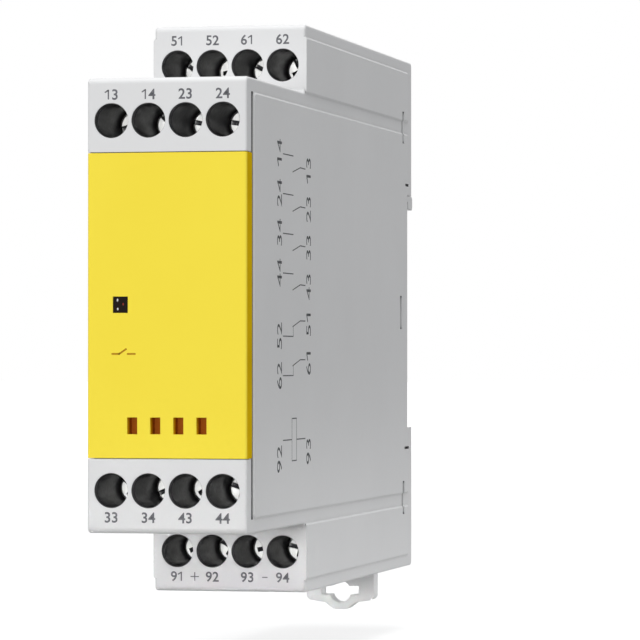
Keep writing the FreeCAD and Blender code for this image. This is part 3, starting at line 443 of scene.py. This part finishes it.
@dataclass(frozen=True)
class BoardLaminate:
    """Glass-epoxy laminate under green solder resist, with the weave of the glass cloth at weave_mm and tracks."""

    name: str = "green_resist_laminate"
    weave_mm: float = 0.45
    weave_depth_mm: float = 0.01
    track_mm: float = 1.2
    fields: tuple[str, str] = ("1F5B35", "1B5230")
    track: str = "2E7A49"

    def make(self) -> bpy.types.Material:
        """Makes the material."""
        material, tree = new_material(self.name)
        place = add_node(tree, "ShaderNodeTexCoord").outputs["Object"]
        threads = {"bands_direction": "Y", "Scale": math.pi / (10 * self.weave_mm * MM)}
        weave = add_node(tree, "ShaderNodeTexWave", threads, {"Vector": place})
        layout = {
            "Scale": 0.3 / (self.track_mm * MM),
            "Mortar Size": 0.03,
            "Color1": linear(self.fields[0]),
            "Color2": linear(self.fields[1]),
            "Mortar": linear(self.track),
        }
        tracks = add_node(tree, "ShaderNodeTexBrick", layout, {"Vector": self.upright(tree, place)})
        normal = bumped(tree, weave.outputs["Fac"], self.weave_depth_mm)
        links: Links = {"Base Color": tracks.outputs["Color"], "Normal": normal}
        surface(tree, {"Roughness": 0.35, "Coat Weight": 0.3}, links)
        return material

    def upright(self, tree: bpy.types.NodeTree, place: bpy.types.NodeSocket) -> bpy.types.NodeSocket:
        """Turns the board's Y and Z into the pattern's X and Y."""
        axes = add_node(tree, "ShaderNodeSeparateXYZ", links={0: place})
        turned = add_node(tree, "ShaderNodeCombineXYZ", links={"X": axes.outputs["Y"], "Y": axes.outputs["Z"]})
        return turned.outputs[0]


@dataclass(frozen=True)
class ClearCover:
    """Pale polycarbonate of the relay's dust cover, moulded, with some light passing through its thin wall."""

    name: str = "pale_polycarbonate_cover"
    colour: str = "D3DAD8"
    shade: str = "C4CCCB"
    haze_mm: float = 4.0
    refraction: float = 1.58
    clearness: float = 0.55
    roughness: Span = (0.14, 0.26)

    def make(self) -> bpy.types.Material:
        """Makes the material."""
        material, tree = new_material(self.name)
        haze = object_noise(tree, self.haze_mm)
        colour = two_tone(tree, haze, self.shade, self.colour)
        links: Links = {"Base Color": colour, "Roughness": spread(tree, haze, *self.roughness)}
        surface(tree, {"IOR": self.refraction, "Transmission Weight": self.clearness}, links)
        return material


@dataclass(frozen=True)
class PadInk:
    """Ink pad-printed on moulded plastic: a thin matt film, a little uneven where it was pressed on."""

    name: str
    colour: str
    shade: str
    film_mm: float = 0.25
    film_span: Span = (0.3, 0.72)
    film_depth_mm: float = 0.003
    specular: float = 0.1
    roughness: Span = (0.5, 0.7)

    def make(self) -> bpy.types.Material:
        """Makes the material."""
        material, tree = new_material(self.name)
        film = object_noise(tree, self.film_mm, 3.0)
        links: Links = {
            "Base Color": two_tone(tree, film, self.shade, self.colour, self.film_span),
            "Roughness": spread(tree, film, *self.roughness),
            "Normal": bumped(tree, film, self.film_depth_mm),
        }
        surface(tree, {"Specular IOR Level": self.specular}, links)
        return material


# The housing gets a painted shade in its slots and inner corners.
HOUSING = Moulded("light_grey_moulded_housing", "E0E0E0", "DCDCDC", recess_mm=0.6)
# Painted light: the foot is a lighter copy of the housing plastic, standing in for light from below that reaches it.
PAINTED_LIGHT_FOOT = Moulded("light_grey_foot_painted_lighter", "F8F8F8", "F2F2F2", flow_mm=6.0)
FINISHES: dict[str, Finish] = {
    "housing_plastic": HOUSING,
    "cover_plastic": CoverYellow(),
    "lens": SmokedLens(),
    "terminal_plastic": Moulded("dark_moulded_polyamide", "3C3C3E", "333335", roughness=0.42, flow_mm=3.0),
    # The screw heads get a painted shade in their slots.
    "screw_steel": PlatedSteel("nickel_plated_screw_steel", "F2F2F0", "DCDCDA", roughness=0.47, recess_mm=1.3),
    "clamp_steel": PlatedSteel("zinc_plated_cage_steel", "C9CCCF", "B4B8BC", roughness=0.36),
    "lead_copper": PlatedSteel("tinned_copper_bar", "D6D2C8", "C4BFB2", roughness=0.34, scratch_mm=0.2),
    "board": BoardLaminate(),
    "relay_plastic": Moulded("white_moulded_polyester", "E9E8E0", "E2E1D8", flow_mm=5.0),
    "relay_cover_plastic": ClearCover(),
    "magnet_iron": PlatedSteel("nickel_plated_soft_iron", "B9B9B7", "A3A3A2", roughness=0.4, scratch_mm=0.3),
    "winding": WoundCopper(),
    "contact_metal": PlatedSteel("rolled_contact_bronze", "D9B57A", "C9A063", roughness=0.3, scratch_mm=0.2),
    "spring_steel": PlatedSteel("drawn_spring_wire", "A9ABAF", "93969B", roughness=0.28, scratch_mm=0.1),
    "led_plastic": Moulded("green_cast_resin", "2F8A4B", "26763F", roughness=0.12, grain_depth_mm=0.0, flow_mm=2.0),
    "capacitor_can": Moulded("dark_blue_shrink_sleeve", "2C3145", "242838", roughness=0.3, flow_mm=4.0),
    "component_plastic": Moulded("black_moulded_resin", "1E1E1F", "161617", roughness=0.5, flow_mm=3.0),
    "varistor_coat": Moulded("blue_dipped_epoxy", "2450A0", "1E4690", roughness=0.3, flow_mm=2.0),
}
GREY_INK = PadInk("dark_grey_pad_ink", "5E5E62", "76767A")
COVER_INK = PadInk("ochre_brown_pad_ink", "A8740A", "BC8818")
SIDE_INK = PadInk("black_laser_mark", "3A3B3D", "515255")
# Painted highlight: white domes that stand for glints on the window's lens.
WHITE_GLINT = Moulded("painted_white_glint", "F4F4F4", "E6E6E6", roughness=0.2, grain_depth_mm=0.0, flow_mm=0.2)
RED_PIP = Moulded("red_cast_pip", "A03A2C", "7E2A20", roughness=0.2, grain_depth_mm=0.0, flow_mm=0.2)


class Side(Enum):
    """Which face a flat piece lies on, as the matrix that lays its X and Y there and its Z outwards."""

    FRONT = ((1, 0, 0), (0, 0, -1), (0, 1, 0))
    RIGHT_UPWARD = ((0, 0, 1), (0, -1, 0), (1, 0, 0))

    def matrix(self) -> Matrix:
        """The turn as a 4x4 matrix."""
        return Matrix(self.value).to_4x4()


def as_mesh(work: bmesh.types.BMesh, name: str) -> bpy.types.Mesh:
    """Ends work on a bmesh and gives it as a mesh."""
    mesh = bpy.data.meshes.new(name)
    work.to_mesh(mesh)
    work.free()
    return mesh


def rounded(work: bmesh.types.BMesh, edges: list[bmesh.types.BMEdge], offset_mm: float) -> None:
    """Bevels edges round."""
    bmesh.ops.bevel(
        work, geom=edges, offset=offset_mm * MM, segments=3, profile=0.5, affect="EDGES", material=-1
    )


def as_piece(name: str, mesh: bpy.types.Mesh, finish: bpy.types.Material, body: str | None) -> bpy.types.Object:
    """Makes an object of a finished mesh, gives it its material and lets it ride on a body.

    Args:
        name: Name of the piece.
        mesh: Mesh that already has its place in the frame.
        finish: Material of the whole piece.
        body: CAD body that carries it, or None for a piece that no body carries.

    Returns:
        The new object.
    """
    mesh.name = name
    mesh.materials.clear()
    mesh.materials.append(finish)
    piece = bpy.data.objects.new(name, mesh)
    bpy.context.scene.collection.objects.link(piece)
    if body:
        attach(piece, body)
    log.info("%s: %d faces on %s", name, len(mesh.polygons), body)
    return piece


def stand_in(
    node: str, source: bpy.types.Object, finish: bpy.types.Material, body: str | None
) -> bpy.types.Object:
    """Makes a piece that has a CAD node's shape and takes its place.

    Args:
        node: Name of the CAD node.
        source: The CAD node.
        finish: Material of the piece.
        body: CAD body that carries the piece, or None for a piece that no body carries.

    Returns:
        The piece.
    """
    mesh = source.data.copy()
    mesh.transform(source.matrix_world)
    piece = as_piece(f"{node}_flexing", mesh, finish, body)
    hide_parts(node)
    return piece


@dataclass
class Strokes:
    """Straight ink lines of one sign, in millimetres in the sign's own plane."""

    width_mm: float
    film_mm: float = 0.012
    overrun_share: float = 0.8
    corner_share: float = 0.4

    def mesh(self, lines: list[Line]) -> bpy.types.Mesh:
        """Joins flat bars along each line, whose rounded ends overlap at the bends.

        Args:
            lines: Each line as its points, in millimetres.

        Returns:
            The mesh, in metres.
        """
        work = bmesh.new()
        for points in lines:
            for start, end in zip(points, points[1:]):
                self.bar(work, Vector(start), Vector(end))
        return as_mesh(work, "strokes")

    def bar(self, work: bmesh.types.BMesh, start: Vector, end: Vector) -> None:
        """Adds one bar with rounded ends between two points."""
        run = end - start
        turn = Matrix.Rotation(math.atan2(run.y, run.x), 4, "Z")
        middle = Matrix.Translation(((start.x + end.x) / 2 * MM, (start.y + end.y) / 2 * MM, 0))
        length = run.length + self.width_mm * self.overrun_share
        size = Matrix.Diagonal((length * MM, self.width_mm * MM, self.film_mm * 2 * MM, 1))
        made = bmesh.ops.create_cube(work, size=1.0, matrix=middle @ turn @ size)
        edges = {edge for vert in made["verts"] for edge in vert.link_edges}
        upright = [e for e in edges if abs(e.verts[0].co.z - e.verts[1].co.z) > self.film_mm * MM]
        rounded(work, upright, self.width_mm * self.corner_share)


@dataclass
class Lettering:
    """Printed figures: plain numbers, each a thin closed film of ink on its face."""

    film_mm: float = 0.012
    proud_mm: float = 0.006
    cap_share: float = 0.695
    advance: float = 0.74
    weight: float = 0.018
    one_stroke: float = 0.135
    one_flag: Span = (0.26, 0.2)

    def figure(self, character: str, height_mm: float) -> bpy.types.Mesh:
        """One figure as a mesh in its own plane, centred on its own outline.

        Args:
            character: The figure.
            height_mm: Its height.

        Returns:
            The mesh, in metres.
        """
        if character == "1":
            top = height_mm / 2
            stroke = self.one_stroke * height_mm
            flag = (-self.one_flag[0] * height_mm, top - stroke / 2 - self.one_flag[1] * height_mm)
            stem = (stroke / 2, top - stroke / 2)
            return Strokes(stroke, self.film_mm).mesh([(flag, stem, (stroke / 2, -top + stroke / 2))])
        curve = bpy.data.curves.new("figure", "FONT")
        curve.body = character
        curve.resolution_u = 6
        size = height_mm * MM / self.cap_share
        curve.extrude = self.film_mm * MM / size
        curve.offset = self.weight
        holder = bpy.data.objects.new("figure", curve)
        bpy.context.scene.collection.objects.link(holder)
        bpy.context.view_layer.update()
        mesh = bpy.data.meshes.new_from_object(holder.evaluated_get(bpy.context.evaluated_depsgraph_get()))
        bpy.data.objects.remove(holder)
        bpy.data.curves.remove(curve)
        mesh.transform(Matrix.Diagonal((size, size, size, 1.0)))
        spans = [[vert.co[axis] for vert in mesh.vertices] for axis in (0, 1)]
        middle = [(min(span) + max(span)) / 2 for span in spans]
        mesh.transform(Matrix.Translation((-middle[0], -middle[1], 0.0)))
        return mesh

    def number(self, number: int, height_mm: float) -> bpy.types.Mesh:
        """A number as one closed mesh in its own plane, centred.

        Args:
            number: The number.
            height_mm: Height of a figure.

        Returns:
            The mesh, in metres.
        """
        text = str(number)
        work = bmesh.new()
        for place, character in enumerate(text):
            mesh = self.figure(character, height_mm)
            shift = (place - (len(text) - 1) / 2) * self.advance * height_mm * MM
            mesh.transform(Matrix.Translation((shift, 0.0, 0.0)))
            work.from_mesh(mesh)
            bpy.data.meshes.remove(mesh)
        bmesh.ops.remove_doubles(work, verts=work.verts, dist=1e-7)
        bmesh.ops.recalc_face_normals(work, faces=work.faces)
        return as_mesh(work, text)

    def place(self, mesh: bpy.types.Mesh, side: Side, at: Place) -> None:
        """Lays a flat mesh on a face, with its film sunk so that only proud_mm stands out.

        Args:
            mesh: Mesh in its own plane, in metres.
            side: The face that it goes to.
            at: Place of its middle on that face, in millimetres.
        """
        sink = Matrix.Translation((0, 0, (self.proud_mm - self.film_mm) * MM))
        mesh.transform(Matrix.Translation(Vector(at) * MM) @ side.matrix() @ sink)


def column_x(column: int) -> float:
    """X of a terminal column, in millimetres, with 0 as the leftmost."""
    return (column - (COLUMNS - 1) / 2) * PITCH_MM


@dataclass
class TerminalNumbers:
    """Plain numbers above and below the rows of screwdriver holes."""

    lettering: Lettering
    height_mm: float = 1.36
    plus_mm: float = 1.15
    minus_mm: float = 0.69
    stroke_mm: float = 0.15
    rows: tuple[tuple[str, float, float, tuple[int, ...]], ...] = (
        ("front_upper", FRONT_MM, 28.35, (13, 14, 23, 24)),
        ("front_lower", FRONT_MM, -28.45, (33, 34, 43, 44)),
        ("wing_upper", WING_MM, 38.3, (51, 52, 61, 62)),
        ("wing_lower", WING_MM, -38.25, (91, 92, 93, 94)),
    )

    def build(self, ink: bpy.types.Material) -> None:
        """Builds every number, and the two polarity signs of the lowest row."""
        for row, face, z, numbers in self.rows:
            for column, number in enumerate(numbers):
                mesh = self.lettering.number(number, self.height_mm)
                self.lettering.place(mesh, Side.FRONT, (column_x(column), face, z))
                as_piece(f"number_{row}_{number}", mesh, ink, "housing")
        plus, minus = self.plus_mm / 2, self.minus_mm / 2
        signs: list[tuple[str, float, list[Line]]] = [
            ("plus", -PITCH_MM, [((-plus, 0), (plus, 0)), ((0, -plus), (0, plus))]),
            ("minus", PITCH_MM, [((-minus, 0), (minus, 0))]),
        ]
        _, face, z, _ = self.rows[-1]
        for name, x, lines in signs:
            mesh = Strokes(self.stroke_mm).mesh(lines)
            self.lettering.place(mesh, Side.FRONT, (x, face, z))
            as_piece(f"sign_{name}", mesh, ink, "housing")


@dataclass
class CoverSigns:
    """What is printed on the yellow cover: the open contact sign that stands for the outputs."""

    lettering: Lettering
    x_mm: float = -6.0
    z_mm: float = -6.35
    width_mm: float = 0.24
    lines: tuple[Line, ...] = (((-1.6, -0.15), (-0.62, -0.15), (0.35, 0.5)), ((0.55, -0.15), (1.6, -0.15)))

    def build(self, ink: bpy.types.Material) -> None:
        """Builds the contact sign from three strokes."""
        mesh = Strokes(self.width_mm).mesh(list(self.lines))
        self.lettering.place(mesh, Side.FRONT, (self.x_mm, FRONT_MM, self.z_mm))
        as_piece("contact_sign", mesh, ink, "housing")


@dataclass
class WindowGlints:
    """Small domes inside the indicator window: two white ones, painted highlights that stand for glints on the lens,
    and one red one.
    """

    window_mm: Span = (-6.45, 0.1)
    radius_mm: float = 0.1
    stretch: Place = (1.2, 0.1, 2.0)
    places: tuple[tuple[str, float, float], ...] = (
        ("upper", -0.4, 0.62),
        ("lower", -0.36, -0.58),
        ("right", 0.4, 0.08),
    )

    def build(self, white: bpy.types.Material, red: bpy.types.Material) -> None:
        """Builds each pip as a low dome that is sunk in the lens."""
        for name, x, z in self.places:
            work = bmesh.new()
            bmesh.ops.create_uvsphere(work, u_segments=16, v_segments=8, radius=self.radius_mm * MM)
            bmesh.ops.scale(work, vec=self.stretch, verts=work.verts)
            place = Vector((self.window_mm[0] + x, FRONT_MM, self.window_mm[1] + z)) * MM
            bmesh.ops.translate(work, vec=place, verts=work.verts)
            mesh = as_mesh(work, name)
            as_piece(f"window_pip_{name}", mesh, red if name == "right" else white, "housing")


@dataclass
class DriverCollars:
    """Dark collars of the terminal inserts, which line each screwdriver hole up to the front face."""

    hole_mm: float = 2.35
    wall_mm: float = 0.05
    setback_mm: float = 0.12
    length_mm: float = 1.2
    steps: int = 64
    crease_deg: float = 40.0
    rows: tuple[tuple[str, float, float], ...] = (
        ("wing_upper", WING_MM, 34.6),
        ("front_upper", FRONT_MM, 24.85),
        ("front_lower", FRONT_MM, -24.85),
        ("wing_lower", WING_MM, -34.6),
    )

    def build(self, finish: bpy.types.Material) -> None:
        """Builds the four collars of each row as one piece."""
        for name, face, z in self.rows:
            work = bmesh.new()
            for column in range(COLUMNS):
                self.collar(work, Vector((column_x(column), face + self.setback_mm, z)) * MM)
            mesh = as_mesh(work, name)
            mesh.polygons.foreach_set("use_smooth", [True] * len(mesh.polygons))
            mesh.set_sharp_from_angle(angle=math.radians(self.crease_deg))
            as_piece(f"driver_collars_{name}", mesh, finish, "housing")

    def collar(self, work: bmesh.types.BMesh, front: Vector) -> None:
        """Spins the section of one collar around its axis."""
        outer, inner = self.hole_mm * MM, (self.hole_mm - self.wall_mm) * MM
        rear = front.y + self.length_mm * MM
        section = [(outer, rear), (outer, front.y), (inner, front.y), (inner, rear)]
        verts = [work.verts.new((front.x + radius, y, front.z)) for radius, y in section]
        edges = [work.edges.new(pair) for pair in zip(verts, verts[1:] + verts[:1])]
        bmesh.ops.spin(
            work, geom=verts + edges, cent=front, axis=(0, 1, 0), angle=2 * math.pi, steps=self.steps, use_merge=True
        )
        bmesh.ops.recalc_face_normals(work, faces=work.faces)


@dataclass
class CoverLips:
    """Rear lips of the yellow cover on both sides, which fill the groove in front of the raised panel."""

    side_mm: float = 11.05
    depth_mm: float = 0.28
    y_mm: Span = (-103.42, -102.84)
    half_height_mm: float = 20.45
    edge_mm: float = 0.08

    def build(self, finish: bpy.types.Material) -> None:
        """Builds one bevelled lip on each side."""
        for name, side in (("left", -1), ("right", 1)):
            work = bmesh.new()
            middle = Vector((side * (self.side_mm - self.depth_mm / 2), sum(self.y_mm) / 2, 0)) * MM
            size = Vector((self.depth_mm, self.y_mm[1] - self.y_mm[0], 2 * self.half_height_mm)) * MM
            place = Matrix.Translation(middle) @ Matrix.Diagonal((*size, 1.0))
            bmesh.ops.create_cube(work, size=1.0, matrix=place)
            rounded(work, list(work.edges), self.edge_mm)
            mesh = as_mesh(work, name)
            as_piece(f"cover_lip_{name}", mesh, finish, "housing")


@dataclass
class SideDiagram:
    """Plain contact diagram on the right side, printed so that it reads upwards."""

    lettering: Lettering
    face_mm: float = 11.25
    height_mm: float = 2.75
    stroke_mm: float = 0.15
    left_y_mm: float = -87.9
    stub_y_mm: Span = (-85.8, -79.6)
    arm_y_mm: Place = (-80.0, -75.3, -72.2)
    right_y_mm: float = -70.1
    make_rows: tuple[tuple[float, int, int], ...] = ((21.2, 14, 13), (15.7, 24, 23), (10.2, 34, 33), (4.7, 44, 43))
    make_arm_z_mm: Place = (-2.25, -1.45, -1.5)
    make_number_z_mm: float = -1.6
    break_rows: tuple[tuple[float, int, int], ...] = ((-4.03, 52, 51), (-9.5, 62, 61))
    break_arm_z_mm: Place = (1.35, 2.2, 2.2)
    break_stub_z_mm: float = 1.3
    break_number_z_mm: float = 1.9
    coil_z_mm: Span = (-21.4, -15.5)
    coil_y_mm: Span = (-80.4, -77.6)
    coil_numbers: tuple[tuple[int, float], ...] = ((92, -21.0), (93, -20.3))

    def build(self, ink: bpy.types.Material) -> None:
        """Builds the lines of all contacts and the coil as one piece, and each number as its own."""
        lines: list[Line] = []
        for z, near, far in self.make_rows:
            lines += self.make_contact(z)
            self.number(f"make_{near}", near, self.left_y_mm, z, ink)
            self.number(f"make_{far}", far, self.right_y_mm, z + self.make_number_z_mm, ink)
        for z, near, far in self.break_rows:
            lines += self.break_contact(z)
            self.number(f"break_{near}", near, self.left_y_mm, z, ink)
            self.number(f"break_{far}", far, self.right_y_mm, z + self.break_number_z_mm, ink)
        lines += self.coil()
        for (number, z), y in zip(self.coil_numbers, (self.left_y_mm, self.right_y_mm)):
            self.number(f"coil_{number}", number, y, z, ink)
        mesh = Strokes(self.stroke_mm).mesh([tuple((z, -y) for y, z in line) for line in lines])
        self.lettering.place(mesh, Side.RIGHT_UPWARD, (self.face_mm, 0.0, 0.0))
        as_piece("contact_diagram", mesh, ink, "housing")

    def arm(self, z: float, offsets: Place) -> Line:
        """Line of a contact's moving arm, as (y, z) points."""
        return tuple((y, z + offset) for y, offset in zip(self.arm_y_mm, offsets))

    def make_contact(self, z: float) -> list[Line]:
        """Lines of one open contact at height z, as (y, z) points."""
        near, far = self.stub_y_mm
        return [((near, z), (far, z)), self.arm(z, self.make_arm_z_mm)]

    def break_contact(self, z: float) -> list[Line]:
        """Lines of one closed contact at height z, as (y, z) points."""
        near, far = self.stub_y_mm
        stub = ((near, z), (far, z), (far, z + self.break_stub_z_mm))
        return [stub, self.arm(z, self.break_arm_z_mm)]

    def coil(self) -> list[Line]:
        """Lines of the coil's rectangle and its two leads, as (y, z) points."""
        (near, far), (low, high) = self.coil_y_mm, self.coil_z_mm
        lead_z = (low + high) / 2
        box = ((near, low), (far, low), (far, high), (near, high), (near, low))
        return [box, ((self.stub_y_mm[0], lead_z), (near, lead_z)), ((far, lead_z), (self.arm_y_mm[2], lead_z))]

    def number(self, name: str, number: int, y: float, z: float, ink: bpy.types.Material) -> None:
        """Builds one upward-reading number."""
        mesh = self.lettering.number(number, self.height_mm)
        self.lettering.place(mesh, Side.RIGHT_UPWARD, (self.face_mm, y, z))
        as_piece(f"diagram_{name}", mesh, ink, "housing")


@dataclass
class Solids:
    """The CAD solids, each of which gets the finish of its slot in the record."""

    subparts: list[dict[str, str]]
    nodes: dict[str, bpy.types.Object]

    def dress(self, materials: dict[str, bpy.types.Material]) -> None:
        """Assigns each node its material."""
        for entry in self.subparts:
            node = self.nodes[entry["node"]]
            slot = entry["material_slot"]
            node.data.materials.clear()
            # Painted light: the rail foot gets a lighter copy of the housing's finish, for light from below.
            node.data.materials.append(materials["foot" if entry["node"] == "rail_foot" else slot])
            log.info("%s: %s", entry["node"], slot)


@dataclass(frozen=True)
class PressedSpring:
    """A coil spring of the CAD solids, as a piece in its place that rides on the housing."""

    node: str
    joint: str
    axis: Place
    anchor_mm: Place
    travel_mm: float

    def build(self, source: bpy.types.Object, finish: bpy.types.Material) -> None:
        """Builds the piece in place of the solid.

        Args:
            source: The CAD node.
            finish: Material of the wire.
        """
        piece = stand_in(self.node, source, finish, "housing")
        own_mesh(piece)


@dataclass(frozen=True)
class ContactBlades:
    """The six moving contact blades, as one piece that reaches from the relay's floor to the card's teeth."""

    node: str = "moving_contact_springs"
    root_x_mm: float = -6.0
    card_x_mm: float = 5.4
    step_mm: float = 1.0

    def build(self, source: bpy.types.Object, finish: bpy.types.Material) -> None:
        """Builds the piece in place of the solids, divided at steps along the blades.

        Args:
            source: The CAD node.
            finish: Material of the blades.
        """
        piece = stand_in(self.node, source, finish, None)
        work = bmesh.new()
        work.from_mesh(piece.data)
        steps = int((self.card_x_mm - self.root_x_mm) / self.step_mm)
        for step in range(steps + 1):
            place = Vector((self.root_x_mm + step * self.step_mm, 0, 0)) * MM
            cut = [*work.verts, *work.edges, *work.faces]
            bmesh.ops.bisect_plane(work, geom=cut, plane_co=place, plane_no=(1, 0, 0))
        work.to_mesh(piece.data)
        work.free()
        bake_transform(piece)


SPRINGS = (
    PressedSpring("foot_spring", "foot_slide", (0, 0, 1), (0, 0, -32.2), 3.0),
    PressedSpring("card_return_spring", "card_slide", (0, 1, 0), (0, -23.5, 0), 0.87),
)


@dataclass
class SoftLamp:
    """One softbox, aimed at a point. A grid in front of it can narrow its light to spread_deg."""

    name: str
    place: Place
    aim: Place
    width: float
    height: float
    power: float
    spread_deg: float = 180.0

    def build(self) -> None:
        """Creates the lamp."""
        data = bpy.data.lights.new(self.name, "AREA")
        data.shape = "RECTANGLE"
        data.size, data.size_y = self.width, self.height
        data.energy = self.power
        data.spread = math.radians(self.spread_deg)
        lamp = bpy.data.objects.new(self.name, data)
        lamp.location = self.place
        lamp.rotation_euler = (Vector(self.aim) - Vector(self.place)).to_track_quat("-Z", "Y").to_euler()
        bpy.context.scene.collection.objects.link(lamp)
        log.info("lamp %s: %.3f W", self.name, self.power)


@dataclass
class Studio:
    """Pale floor, white background, soft lamps and the camera of the photograph's viewing angle.

    The floor is low enough for the rail foot's lowest pose. It gets its white from floor_lift near the relay and
    far_lift farther off, over the distances of lift_reach.
    """

    floor_z_mm: float = -50.5
    floor_radius: float = 6.0
    floor_segments: int = 96
    floor_tones: Span = (0.3, 0.32)
    floor_blotch_mm: float = 60.0
    floor_lift: float = 0.72
    far_lift: float = 1.0
    lift_reach: Span = (0.35, 1.6)
    ambient: float = 0.49
    ambient_colour: str = "FAFCFF"
    clip: Span = (0.05, 50.0)
    camera_place_mm: Place = (135.6, -608.8, -6.82)
    yaw_deg: float = 12.83
    pitch_deg: float = 0.535
    focal_px: float = 3888.0
    frame_px: float = 640.0
    sensor_mm: float = 36.0
    lamps: tuple[SoftLamp, ...] = (
        SoftLamp("front_softbox", (0.06, -1.5, 0.03), (0, -0.1, 0), 0.3, 0.14, 5.8),
        SoftLamp("top_softbox", (0.08, -0.25, 1.2), (0, -0.08, 0), 0.6, 0.6, 9.0),
        SoftLamp("low_softbox", (-0.3, -0.75, 0.0), (0, 0, -0.03), 0.5, 0.09, 0.95),
        SoftLamp("foot_strip_light", (-0.1, -0.8, -0.008), (0, -0.05, -0.054), 0.2, 0.02, 0.0046, 4.8),
        SoftLamp("side_strip_light", (0.72, -0.3, -0.008), (0.011, -0.04, -0.051), 0.14, 0.02, 0.0056, 6.4),
    )

    def build(self) -> None:
        """Builds all of it."""
        self.floor()
        self.world()
        for lamp in self.lamps:
            lamp.build()
        self.camera()
        bpy.context.scene.view_settings.view_transform = "Standard"

    def seen(self, tree: bpy.types.NodeTree) -> bpy.types.NodeSocket:
        """One where the camera sees the backdrop, directly or by way of metal or glass."""
        path = add_node(tree, "ShaderNodeLightPath")
        seen = path.outputs["Is Camera Ray"]
        for kind in ("Is Glossy Ray", "Is Transmission Ray"):
            links: Links = {0: seen, 1: path.outputs[kind]}
            seen = add_node(tree, "ShaderNodeMath", {"operation": "MAXIMUM"}, links).outputs[0]
        return seen

    def floor(self) -> None:
        """Pale matt floor: smooth painted board that stays white in the picture and keeps the shadow."""
        work = bmesh.new()
        bmesh.ops.create_circle(work, cap_ends=True, segments=self.floor_segments, radius=self.floor_radius)
        bmesh.ops.translate(work, vec=(0, 0, self.floor_z_mm * MM), verts=work.verts)
        mesh = as_mesh(work, "studio_floor")
        material, tree = new_material("white_matt_paint")
        stops = [(level, grey(tone)) for level, tone in zip(NOISE, self.floor_tones)]
        tone = ramp(tree, object_noise(tree, self.floor_blotch_mm), stops)
        diffuse = add_node(tree, "ShaderNodeBsdfDiffuse", {"Roughness": 0.6}, {"Color": tone})
        place = add_node(tree, "ShaderNodeTexCoord").outputs["Object"]
        away = add_node(tree, "ShaderNodeVectorMath", {"operation": "LENGTH"}, {0: place}).outputs["Value"]
        span = {"From Min": self.lift_reach[0], "From Max": self.lift_reach[1]}
        span |= {"To Min": self.floor_lift, "To Max": self.far_lift}
        whitened = add_node(tree, "ShaderNodeMapRange", span, {"Value": away}).outputs["Result"]
        lift = add_node(tree, "ShaderNodeMath", {"operation": "MULTIPLY"}, {0: self.seen(tree), 1: whitened})
        glow = add_node(tree, "ShaderNodeEmission", links={"Strength": lift.outputs[0]})
        both = add_node(tree, "ShaderNodeAddShader", links={0: diffuse.outputs[0], 1: glow.outputs[0]})
        add_node(tree, "ShaderNodeOutputMaterial", links={"Surface": both.outputs[0]})
        mesh.materials.append(material)
        floor = bpy.data.objects.new("studio_floor", mesh)
        bpy.context.scene.collection.objects.link(floor)

    def world(self) -> None:
        """Soft ambient light that the camera, metal and glass see as plain white."""
        world = bpy.data.worlds.new("studio")
        world.use_nodes = True
        tree = world.node_tree
        tree.nodes.clear()
        soft = {"Color": linear(self.ambient_colour), "Strength": self.ambient}
        light = add_node(tree, "ShaderNodeBackground", soft)
        white = add_node(tree, "ShaderNodeBackground", {"Color": grey(1.0), "Strength": 1.0})
        links: Links = {0: self.seen(tree), 1: light.outputs[0], 2: white.outputs[0]}
        mixed = add_node(tree, "ShaderNodeMixShader", links=links)
        add_node(tree, "ShaderNodeOutputWorld", links={"Surface": mixed.outputs[0]})
        bpy.context.scene.world = world

    def camera(self) -> None:
        """Camera that frames the relay as the photograph does."""
        yaw, pitch = math.radians(self.yaw_deg), math.radians(self.pitch_deg)
        ahead = Vector((-math.sin(yaw) * math.cos(pitch), math.cos(yaw) * math.cos(pitch), math.sin(pitch)))
        data = bpy.data.cameras.new("camera")
        data.sensor_width = self.sensor_mm
        data.lens = self.focal_px / self.frame_px * self.sensor_mm
        data.clip_start, data.clip_end = self.clip
        camera = bpy.data.objects.new("camera", data)
        camera.location = Vector(self.camera_place_mm) * MM
        camera.rotation_euler = ahead.to_track_quat("-Z", "Y").to_euler()
        bpy.context.scene.collection.objects.link(camera)
        bpy.context.scene.camera = camera


def main() -> None:
    """Dresses the solids and builds the collars, lips, window pips and their painted highlights, prints, springs and
    the studio.
    """
    logging.basicConfig(level=logging.INFO, format="%(message)s")
    materials = {slot: finish.make() for slot, finish in FINISHES.items()}
    # Painted light: a lighter copy of the housing plastic for the foot.
    materials["foot"] = PAINTED_LIGHT_FOOT.make()
    solids = Solids(frame["record"]["subparts"], frame["nodes"])
    solids.dress(materials)
    lettering = Lettering()
    TerminalNumbers(lettering).build(GREY_INK.make())
    CoverSigns(lettering).build(COVER_INK.make())
    WindowGlints().build(WHITE_GLINT.make(), RED_PIP.make())
    DriverCollars().build(materials["terminal_plastic"])
    CoverLips().build(materials["cover_plastic"])
    SideDiagram(Lettering(weight=0.0)).build(SIDE_INK.make())
    for spring in SPRINGS:
        spring.build(solids.nodes[spring.node], materials["spring_steel"])
    ContactBlades().build(solids.nodes["moving_contact_springs"], materials["contact_metal"])
    Studio().build()


if __name__ == "__main__":
    main()
